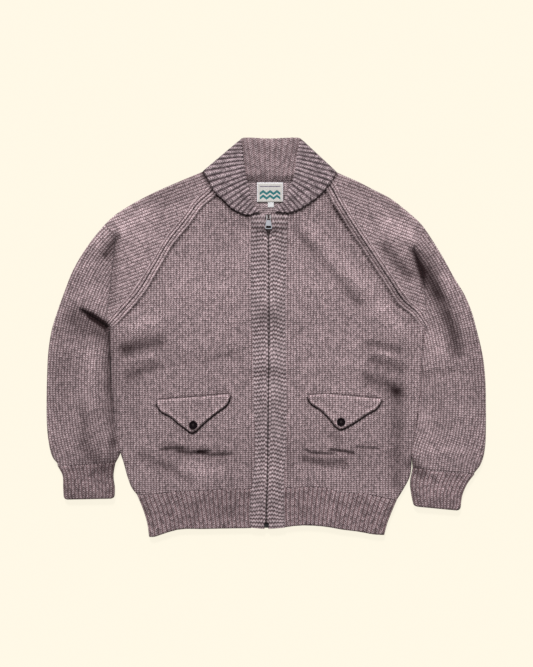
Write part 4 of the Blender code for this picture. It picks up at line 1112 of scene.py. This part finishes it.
def cuff(side):
    """A cuff as a tube, ribbed above and flat where it rests."""
    table = CUFF_ROWS[side]
    run = lengths([(row.out_x, row.out_y) for row in table])
    downs = np.linspace(0, run[-1], 50)[:, None]
    ends = CuffRow(*[smooth(zip(run, column), downs) for column in zip(*table)])
    corner = np.maximum(downs - (run[-1] - CUFF_CORNER), 0)
    corner = AWAY[side] * 0.8 * (CUFF_CORNER - np.sqrt(np.maximum(CUFF_CORNER ** 2 - corner ** 2, 0)))
    ends = ends._replace(in_x=ends.in_x + corner, out_x=ends.out_x - corner)

    def spot(share):
        """(x, y) at a share of the way across."""
        return (ends.in_x + (ends.out_x - ends.in_x) * share, ends.in_y + (ends.out_y - ends.in_y) * share)

    upper, lower = np.linspace(0, 1, CUFF_RIBS * 8 + 1), np.linspace(1, 0, 42)[1:-1]
    to_side, low_side = (np.minimum(s, 1 - s) * np.abs(ends.out_x - ends.in_x) for s in (upper, lower))
    x, y = spot(upper)
    to_foot = run[-1] - downs
    u, v = upper * CUFF_RIBS + 0.5, downs / ROW
    z = rib_level(u, v, to_side, seam_groove(downs) + rounded_edge(to_foot))
    low_z = MID * (1 - turned(low_side, 6)) + 0.6 * (1 - turned(to_foot, 3))
    # painted shade along the cuff's rounded lower edge and turned sides, lighter at its top, and a little
    # darker all over
    tone = (relief(x, y)[1] + 0.03 + 0.35 * bell(to_foot, 1.6) + 0.22 * bell(to_side, 3)
            - 0.12 * bell(downs - 1, 2))
    outer = Face(np.concatenate([grid(x, y, z), grid(*spot(lower), low_z)], axis=1),
                 np.concatenate([u, (2 - lower) * CUFF_RIBS + 0.5]), v,
                 painted_shade=np.concatenate([tone, 0 * low_z], axis=1))
    q = np.linspace(0.06, 0.94, 8)
    q = np.concatenate([[0.04], q, [0.96], q[::-1]])
    levels = np.array([MID] + [UNDER] * 8 + [MID] + [KNIT] * 8)
    inner = Face(grid(*spot(q), levels), q * CUFF_RIBS, v)
    knitted("cuff_" + side, outer, inner, (RIBBED, RIBBED), CUFF_CUT, "floor", ring=True)


FOLD_REACH = 7
FOLD_ROWS = 9
OPEN_FOLD = (4.2, 4.4)  # how far from the fold the inner face's two legs stop
# Heights at the fold, then how far the outer face rises over it and sinks under it
WING_LEVELS = (11.15, 4.5, 4.1)
STAND_LEVELS = (4.5, 4.2, 4.5)
RIB_PITCH = 6.9  # between the collar's ribs, at its inner fold
# How far below the level the ribs run outwards from the inner fold, by the fold's y
RIB_TURN = {
    "right": [(230, 60), (252, 48), (275, 38), (298, 23), (311, 16), (325, 9), (345, 4), (430, 0)],
    "left": [(230, 60), (255, 52), (283, 42), (298, 26), (311, 18), (330, 14), (346, 9), (430, 3)],
}


def stations(table, count):
    """Smooth columns of a collar table, one value for each of count + 1 stations."""
    run = lengths([((w.fold_x + w.edge_x) / 2, (w.fold_y + w.edge_y) / 2) for w in table])
    at = np.linspace(0, run[-1], count + 1)
    return Wing(*[smooth(zip(run, column), at)[None, :] for column in zip(*table)])


def leg(w, end):
    """A leg of the collar, from the fold to the edge or the seam: its x, its y and its length."""
    x, y = getattr(w, end + "_x") - w.fold_x, getattr(w, end + "_y") - w.fold_y
    return x, y, np.hypot(x, y)


def leg_points(w, end, distance):
    """(x, y) at a distance from the fold along a leg, and its share of the leg."""
    x, y, length = leg(w, end)
    share = distance / length
    return w.fold_x + x * share, w.fold_y + y * share, share


def leg_rows(main, other, reach, rows):
    """Distances from the fold for the rows of two legs, from the end of the main one."""
    flat = np.linspace(1, 0, rows)[:, None]
    bend = reach * (1 - np.cos(np.linspace(1, 0, FOLD_ROWS)[1:, None] * math.pi / 2))
    return (np.concatenate([reach + (main - reach) * flat, bend]),
            np.concatenate([bend[::-1][1:], reach + (other - reach) * flat[::-1][::5][1:]]))


def rib_lines(side, x, y):
    """Number of the collar's rib at a point, and the distance along it from the fold."""
    away = AWAY[side]
    table = [(w.fold_y, w.fold_x) for w in WINGS[side]]
    (y0, x0), (y1, x1) = table[-2:]
    table.append((y1 + 70, x1 + (x1 - x0) / (y1 - y0) * 70))
    ys = np.arange(228, 440, 0.5)
    xs = np.interp(ys, *zip(*table))
    turn = np.radians(np.interp(ys, *zip(*RIB_TURN[side])))
    across, down = away * np.cos(turn), -np.sin(turn)
    step = np.abs(np.gradient(xs) * down - np.gradient(ys) * across) / RIB_PITCH
    px, py = x.ravel()[:, None], y.ravel()[:, None]
    off = (px - xs) * down - (py - ys) * across
    best = np.abs(off).argmin(axis=1)
    off = off[np.arange(len(best)), best]
    share = away * off / np.maximum(RIB_PITCH * step[best], 1e-6) * step[best]
    along = (px[:, 0] - xs[best]) * across[best] + (py[:, 0] - ys[best]) * down[best]
    return (np.cumsum(step)[best] - share).reshape(x.shape), along.reshape(x.shape)


def wing(side):
    """A turned-down side of the collar, from its free edge over the fold to the neck seam."""
    faces = []
    for count, outside in ((WING_RIBS * 8, True), (18, False)):
        w = stations(WINGS[side], count)
        fall, stand_length = leg(w, "edge")[2], leg(w, "seam")[2]
        reach = np.minimum(FOLD_REACH, fall * 0.4)
        falls, stands = leg_rows(fall, stand_length, reach, 44)
        at_fold, over, under = WING_LEVELS
        level, low, least = at_fold + 0.2, at_fold - 0.15, OPEN_FOLD
        if outside:
            level = (at_fold + over * turned(falls, reach) + 1.2 * bell(falls - 12, 9) * (fall > 25)
                     + rounded_edge(fall - falls, 2.8, 3.2))
            low, least = at_fold - under * turned(stands, reach), (0, 0)
        x, y, share = leg_points(w, "edge", np.maximum(falls, least[0]))
        sx, sy, s_share = leg_points(w, "seam", np.maximum(stands, least[1]))
        points = np.concatenate([grid(x, y, level + w.rise * (1 - share)),
                                 grid(sx, sy, low + w.rise * (1 - s_share))])
        number, along = rib_lines(side, x, y)
        u = np.concatenate([number, number[-1:] + 0 * sx])
        v = np.concatenate([along, -stands]) / ROW
        if outside:
            fade = np.where(np.arange(len(points)) == 0, 0.4, 1)[:, None]
            points = lifted(points, (raised(u, v, COLLAR_RIB) * 0.95 - 0.9) * fade)
        faces.append(Face(points, u, v))
    knitted("collar_" + side, *faces, (COLLARED, COLLARED), WING_CUT, "front_" + side)


def stand():
    """The collar's back: its stand shows, and its fall lies under it."""
    faces = []
    for count, outside in ((STAND_RIBS * 12, True), (20, False)):
        w = stations(STAND, count)
        up = leg(w, "seam")[2]
        stands, falls = leg_rows(up, leg(w, "edge")[2], FOLD_REACH + 0 * up, 52)
        ramp = 4 * (1 - ease(0, 13, up - stands))
        at_fold, over, under = STAND_LEVELS
        level, low, least = at_fold - ramp, KNIT, OPEN_FOLD
        if outside:
            level = level + over * turned(stands, FOLD_REACH) + 0.6 * bell(stands - 14, 10)
            low, least = at_fold - under * turned(falls, FOLD_REACH), (0, 0)
        points = np.concatenate([grid(*leg_points(w, "seam", np.maximum(stands, least[0]))[:2], level),
                                 grid(*leg_points(w, "edge", np.maximum(falls, least[1]))[:2], low)])
        u = np.linspace(0, STAND_RIBS, count + 1)[None, :] + 0.5
        v = np.concatenate([up - stands, up + falls]) / ROW
        if outside:
            fade = 1 - ease(len(stands) - 1, len(stands) + 6, np.arange(len(points)))[:, None]
            points = lifted(points, (raised(u, v, FINE_RIB) * 0.9 - 0.7) * fade)
            points[..., 2] = np.maximum(points[..., 2], 0)
        # painted shade at the foot of the stand, by the neck seam, and a little all over
        tone = np.concatenate([0.45 * bell(up - stands, 4) + 0.06, 0 * falls])
        faces.append(Face(points, u, v, painted_shade=tone))
    knitted("collar_back", *faces, (RIBBED_FINE, RIBBED_FINE), STAND_CUT, "floor")


BAND_WALE = 5.2


def placket(side):
    """A front band: garter ridges that fall from the zip towards the front."""
    away = AWAY[side]
    last = BAND_TOP_Y[side]
    ridges = round((last - BAND_FOOT_Y) / BAND_PITCH)
    ys = np.linspace(BAND_FOOT_Y, last, ridges * 6 + 1)[:, None]
    share = np.linspace(0, 1, 25)
    arch = -BAND_DROP[side] * ease(0.8, 0, share) - 4.5 * ease(0.74, 1.05, share)
    top = ease(last - 12, last, ys)
    slant = arch * ease(BAND_FOOT_Y, BAND_FOOT_Y + 40, ys) * (1 - ease(last - 40, last, ys))
    slant = slant + share * (2.8 * top - 2.4 * (1 - top))
    y = ys + slant
    x_side = smooth(SIDES[side]["band"], ys)
    x_zip = smooth(ZIP_LINE, y) + away * (np.interp(y, *zip(*BAND_OPEN)) - 0.5)
    x = x_side + (x_zip - x_side) * share
    to_zip, to_side = np.abs(x - x_zip), np.abs(x - x_side)
    u, v = to_side / BAND_WALE, (ys - BAND_FOOT_Y) / BAND_PITCH
    wave = 2 * ripple(v + BAND_ZIGZAG * zigzag(u)) ** 0.6 - 1
    z = (TOP - 0.2 + wave + rounded_edge(to_zip, 3, 4.5) + rounded_edge(to_side, 1.6, 3)
         + 0.6 * np.sin(ys / 37) * share + 0.5 * bell(share - 0.45, 0.3))
    # painted shading: a waving light and shade, shade at the top end, a line of painted shade in the zip's
    # gap and painted light on the bands' edges beside it
    tone = (0.08 * np.sin(ys / 23 + 2 * share) * share + 0.06 * ease(222, 232, y)
            + 0.45 * bell(to_zip, 1.2) - 0.16 * bell(to_zip - 4, 2.2))
    for middle, reach, painted_dark in BAND_PAINTED_SHADING:
        tone = tone + painted_dark * (0.3 + 0.7 * share) * bell(y - middle, reach)
    outer = Face(grid(x, y, z), u, v, painted_shade=tone)
    zip_x = smooth(ZIP_LINE, ys) + away * np.interp(ys, *zip(*BAND_OPEN))
    qx = x_side + (zip_x - x_side) * np.linspace(0, 1, 3)
    inner = Face(grid(qx, ys + slant[:, [0, 12, -1]], UNDER), qx / BAND_WALE, v)
    knitted("placket_" + side, outer, inner, (BANDED, BANDED), BAND_CUT, "zip_tape_" + side)


def flap(side):
    """A pointed pocket flap with a thick, turned edge."""
    rows = FLAPS[side]
    x = np.append(np.arange(rows[0].x, rows[-1].x, WALE / PER_WALE), rows[-1].x)
    top = smooth([(r.x, r.top) for r in rows], x)
    foot = np.interp(x, [r.x for r in rows], [r.bottom for r in rows])
    y = foot + (top - foot) * np.linspace(0, 1, 48)[:, None]
    to_foot = (y - foot) / np.sqrt(1 + np.gradient(foot, x) ** 2)
    to_edge = np.minimum(to_foot, np.minimum(x - x[0], x[-1] - x))
    to_top = top - y
    u, v = x / WALE, y / ROW
    base = TOP + SEWN + relief(x, y)[0]
    rise = raised(u, v) * 0.8 - 0.5 + 0.9 * bell(to_edge - 4.5, 2.5)
    z = (base + FLAP_THICK + rise * np.clip(to_edge / 3, 0, 1)
         + rounded_edge(to_edge, 2.6, 3.2) + rounded_edge(to_top, 2.8, 3))
    # painted shade at the flap's turned edge, painted highlights on its rim and below its top
    tone = (0.7 * bell(to_edge, 1.4) - 0.34 * bell(to_edge - 4, 1.8)
            - 0.26 * bell(to_top - 3, 2.4) + 0.03)
    outer = Face(grid(x, y, z), u, v, painted_shade=tone)
    q = np.linspace(0, len(x) - 1, 9).astype(int)
    inner = Face(grid(x, y, base)[:, q], u[q], v[:, q])
    knitted("flap_" + side, outer, inner, (PLAIN, REVERSE), FLAP_CUT, "front_" + side)


# Hard pieces and the label
def assemble(name, shapes, mat, body=BODY, nodes=()):
    """One object from shapes, each a stack of loops that is capped or, if closed, a ring."""
    points, faces = [], []
    for loops, closed in shapes:
        rows, count = len(loops), len(loops[0])
        base = len(points)
        points += np.array(loops, float).reshape(-1, 3).tolist()
        for r in range(rows if closed else rows - 1):
            a, b = base + r * count, base + (r + 1) % rows * count
            faces += [(a + i, a + (i + 1) % count, b + (i + 1) % count, b + i) for i in range(count)]
        if not closed:
            faces += [tuple(range(first, first + count)) for first in (base, base + (rows - 1) * count)]
    mesh = bpy.data.meshes.new(name)
    mesh.from_pydata((np.array(points) * MM).tolist(), [], faces)
    shaped = bmesh.new()
    shaped.from_mesh(mesh)
    bmesh.ops.recalc_face_normals(shaped, faces=shaped.faces)
    shaped.to_mesh(mesh)
    shaped.free()
    mesh.shade_smooth()
    mesh.set_sharp_from_angle(angle=math.radians(38))
    wear(placed(name, mesh, mat), nodes, body)


def slab(x0, x1, y0, y1, z0, z1, bevel):
    """Loops of a box with bevelled edges."""
    loops = []
    for z, inset in ((z0, bevel), (z0 + bevel, 0), (z1 - bevel, 0), (z1, bevel)):
        xa, xb, ya, yb = x0 + inset, x1 - inset, y0 + inset, y1 - inset
        loops.append([(xa + bevel, ya, z), (xb - bevel, ya, z), (xb, ya + bevel, z), (xb, yb - bevel, z),
                      (xb - bevel, yb, z), (xa + bevel, yb, z), (xa, yb - bevel, z), (xa, ya + bevel, z)])
    return loops, False


def disc(places, y, z, sides=20, raise_top=0):
    """Loops of a round plate across the hinge, from (x, radius) pairs."""
    turns = np.linspace(0, 2 * math.pi, sides, endpoint=False)
    return [[(x, y + r * math.cos(t), z + (r + raise_top * (t < math.pi)) * math.sin(t)) for t in turns]
            for x, r in places], False


def tube(path, radius, sides=8):
    """Loops of a round bar along a path."""
    path = np.array(path, float)
    along = np.gradient(path, axis=0)
    along /= np.linalg.norm(along, axis=1, keepdims=True)
    guide = np.array([0, 1, 0]) if abs(along[0][1]) < 0.5 else np.array([0, 0, 1])
    turns = np.linspace(0, 2 * math.pi, sides, endpoint=False)
    loops = []
    for point, ahead in zip(path, along):
        one = np.cross(ahead, guide)
        one /= np.linalg.norm(one)
        two = np.cross(ahead, one)
        loops.append([point + radius * (math.cos(t) * one + math.sin(t) * two) for t in turns])
    return loops, False


CHAIN = (6.9, 8.1)  # between which the teeth are full size, and the heights of the slider's plate
RAILS = (7.6, 11.6)  # heights of the slider's rails
RAIL_OUT = 4.1  # from the zip's middle to a rail's outer face


def teeth(side):
    """The zip's teeth on one side, half a pitch out of step with the other side's."""
    away = AWAY[side]
    shapes = []
    for y in np.arange(TEETH_END[0] + (away > 0) * TOOTH_PITCH / 2, TEETH_END[1], TOOTH_PITCH):
        x = float(smooth(ZIP_LINE, y))
        loops = []
        low, high = CHAIN
        for z, inset in ((low - 0.25, 0.1), (low, 0), (high, 0), (high + 0.25, 0.15)):
            root, head = x + away * 2.7, x + away * (inset - 0.7)
            loops.append([(root, y - 0.7 + inset, z), (x, y - 0.6 + inset, z), (head, y - 0.3, z),
                          (head, y + 0.3, z), (x, y + 0.6 - inset, z), (root, y + 0.7 - inset, z)])
        shapes.append((loops, False))
    assemble("zip_teeth_" + side, shapes, TEETH)


def slider():
    """Two rails over a plate, with the tab's lug."""
    x, hinge_y, hinge_z = HINGE
    y0, y1 = SLIDER_Y - SLIDER_LENGTH / 2, SLIDER_Y + SLIDER_LENGTH / 2
    plate = [slab(x - 4.3, x + 4.3, y0, y1, *CHAIN, 0.3),
             slab(x - 2.4, x + 2.4, y0 + 0.6, hinge_y + 2.2, 9.4, 10.9, 0.3)]
    # the plate takes the zip tape's dark finish, as painted shade in the channel between the rails
    assemble("zip_slider_plate", plate, TAPE)
    rails = []
    low, high = RAILS
    for away in (-1, 1):
        rows = []
        for y, wide in ((y0, 2.1), (SLIDER_Y, 2.1), (y1, 1.8)):
            outer, inner = x + away * RAIL_OUT, x + away * (RAIL_OUT - wide)
            rows.append([(outer, y, low), (outer, y, high - 0.6), (outer - away * 0.6, y, high),
                         (inner + away * 0.5, y, high), (inner, y, high - 0.5), (inner, y, low)])
        rails.append((rows, False))
    assemble("zip_slider_body", rails, PAINTED_LIT_RAIL, nodes=["zip_slider"])
    lug = [disc([(x - 1.3, 1.4), (x - 1.1, 1.6), (x + 1.1, 1.6), (x + 1.3, 1.4)], hinge_y, hinge_z - 1,
                raise_top=1),
           tube([(x + dx, hinge_y, hinge_z) for dx in (-2.9, 0, 2.9)], 0.7, 14)]
    assemble("zip_slider_lug", lug, TEETH)


def cross(a, b):
    """The cross product of vectors in the plane."""
    return a[..., 0] * b[..., 1] - a[..., 1] * b[..., 0]


def ray_hits(outline, centre, turns):
    """Where rays from a centre meet a convex outline round it."""
    ends = np.array(outline, float) - centre
    edges = np.roll(ends, -1, axis=0) - ends
    rays = np.stack([np.cos(turns), np.sin(turns)], 1)
    return centre + rays / (cross(rays[:, None], edges) / cross(ends, edges)).max(axis=1)[:, None]


# The pull tab's outline: distance from the pin, and half the width
TAB_ROWS = [(1.9, 3.7), (2.5, 4.1), (6.5, 5), (11, 5.9), (14, 6.4), (16.6, 6.4), (18, 5.8),
            (18.5, 4.6)]
SLOT_CORNER = 0.7


def pull_tab():
    """A plate that widens to its foot, with a slot there and two ears round the pin."""
    x, hinge_y, hinge_z = HINGE
    half_width, half_height, down = SLOT
    outline = [(x + w, hinge_y - r) for r, w in TAB_ROWS] + [(x - w, hinge_y - r) for r, w in TAB_ROWS[::-1]]
    centre = np.array([x, hinge_y - down])
    turns = np.linspace(0, 2 * math.pi, 128, endpoint=False)
    outer = ray_hits(outline, centre, turns)
    w, h, c = half_width, half_height, SLOT_CORNER
    corners = [(w, h - c), (w - c, h), (c - w, h), (-w, h - c)]
    corners += [(-dx, -dy) for dx, dy in corners]
    inner = ray_hits([centre + corner for corner in corners], centre, turns)
    loops = []
    for flat, z, shift in ((outer, -0.3, 0), (outer, 0.25, 0), (outer, 0.6, -0.4), (inner, 0.6, 0.1),
                           (inner, 0.3, 0), (inner, -0.3, 0), (inner, -0.6, 0.3), (outer, -0.6, -0.4)):
        ray = flat - centre
        flat = flat + ray / np.linalg.norm(ray, axis=1, keepdims=True) * shift
        loops.append(np.concatenate([flat, np.full((len(flat), 1), hinge_z + z)], axis=1))
    assemble("zip_tab_plate", [(loops, True)], METAL, body="pull_tab", nodes=["zip_pull_tab"])
    ears = []
    for away in (-1, 1):
        rims = ((1.55, 1.6), (1.75, 1.85), (2.65, 1.85), (2.85, 1.6))
        ears.append(disc([(x + away * dx, r) for dx, r in rims], hinge_y, hinge_z))
        low, high = sorted((x + away * 1.6, x + away * 2.8))
        ears.append(slab(low, high, hinge_y - 3.2, hinge_y - 0.8, hinge_z - 0.55, hinge_z + 0.55, 0.2))
    assemble("zip_tab_ears", ears, TEETH, body="pull_tab")


HOLE = 1.41  # from a button's centre to its holes, along both axes


def button_thread(side):
    """Two short bars of thread through a button's four holes."""
    x, y = BUTTONS[side]
    arch = [(-HOLE, 16), (-1.4, 17), (-1, 17.55), (0, 17.7), (1, 17.55), (1.4, 17), (HOLE, 16)]
    bars = [tube([(x + dx, y + off, z) for dx, z in arch], 0.45) for off in (-HOLE, HOLE)]
    assemble("button_thread_" + side, bars, THREAD)


def patch(name, at, mat):
    """A small woven label with a crowned face, resting on the back."""
    u = np.linspace(-1, 1, 29) * at.width / 2
    v = np.linspace(-1, 1, 23)[:, None] * at.length / 2
    edge = np.minimum(at.width / 2 - np.abs(u), at.length / 2 - np.abs(v))
    bow = 0.1 * np.sin(u / 5 + 1)
    lift = 1.2 * bow + 0.1 * np.sin(v / 4) + 0.3 * (turned(edge, 1.6) - 1)
    outer, inner = (Face(grid(at.x + u, at.y + v, at.low + bow + z), u, v)
                    for z in (PATCH_THICK + lift, -0.1))
    obj = wall(name + "_cloth", outer, inner, mat, mat)
    wear(obj, [name])
    at.width * MM


for side in ("right", "left"):
    for build in (front, sleeve, hem_front, cuff, wing, placket, flap, teeth, button_thread):
        build(side)
for build in (back, hem_back, stand, slider, pull_tab):
    build()
patch("label", LABEL, LABEL_WEAVE)
patch("size_tab", SIZE_TAB, TAB_WEAVE)

for name, mat in (("zip_tape_right", TAPE), ("zip_tape_left", TAPE), ("zip_bottom_box", BLACK),
                  ("button_right", BUTTON), ("button_left", BUTTON)):
    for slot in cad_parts[name].material_slots:
        slot.material = mat

# Floor, light and camera
paper = Graph("floor_paper").finish(
    Base_Color=(0.072, 0.0672, 0.0568, 1), Roughness=1, Specular_IOR_Level=0,
    Emission_Color=(1, 0.945, 0.795, 1), Emission_Strength=0.92)
bpy.ops.mesh.primitive_plane_add(size=8, location=(0, 0, -0.0005))
floor = bpy.context.object
floor.name = "floor"
floor.data.materials.append(paper)

sun = placed("window", bpy.data.lights.new("window", "SUN"))
sun.data.energy = 3.7
sun.data.angle = math.radians(11)
sun.rotation_euler = (math.radians(-52), 0, math.radians(9))

world = bpy.data.worlds.new("studio")
bpy.context.scene.world = world
world.use_nodes = True
world.node_tree.nodes["Background"].inputs[0].default_value = (1, 1, 1, 1)
world.node_tree.nodes["Background"].inputs[1].default_value = 0.38

FRAME_HEIGHT = 1.254  # metres of the floor that the picture shows from top to bottom
LENS = 85
SENSOR = 36
camera = placed("camera", bpy.data.cameras.new("camera"))
camera.data.lens = LENS
camera.data.sensor_fit = "VERTICAL"
camera.data.sensor_height = SENSOR
camera.location = (0.0005, 0.007, LENS * FRAME_HEIGHT / SENSOR + 0.007)
bpy.context.scene.camera = camera
bpy.context.scene.view_settings.view_transform = "Standard"
bpy.context.scene.cycles.use_denoising = False  # it would wipe out the single stitches
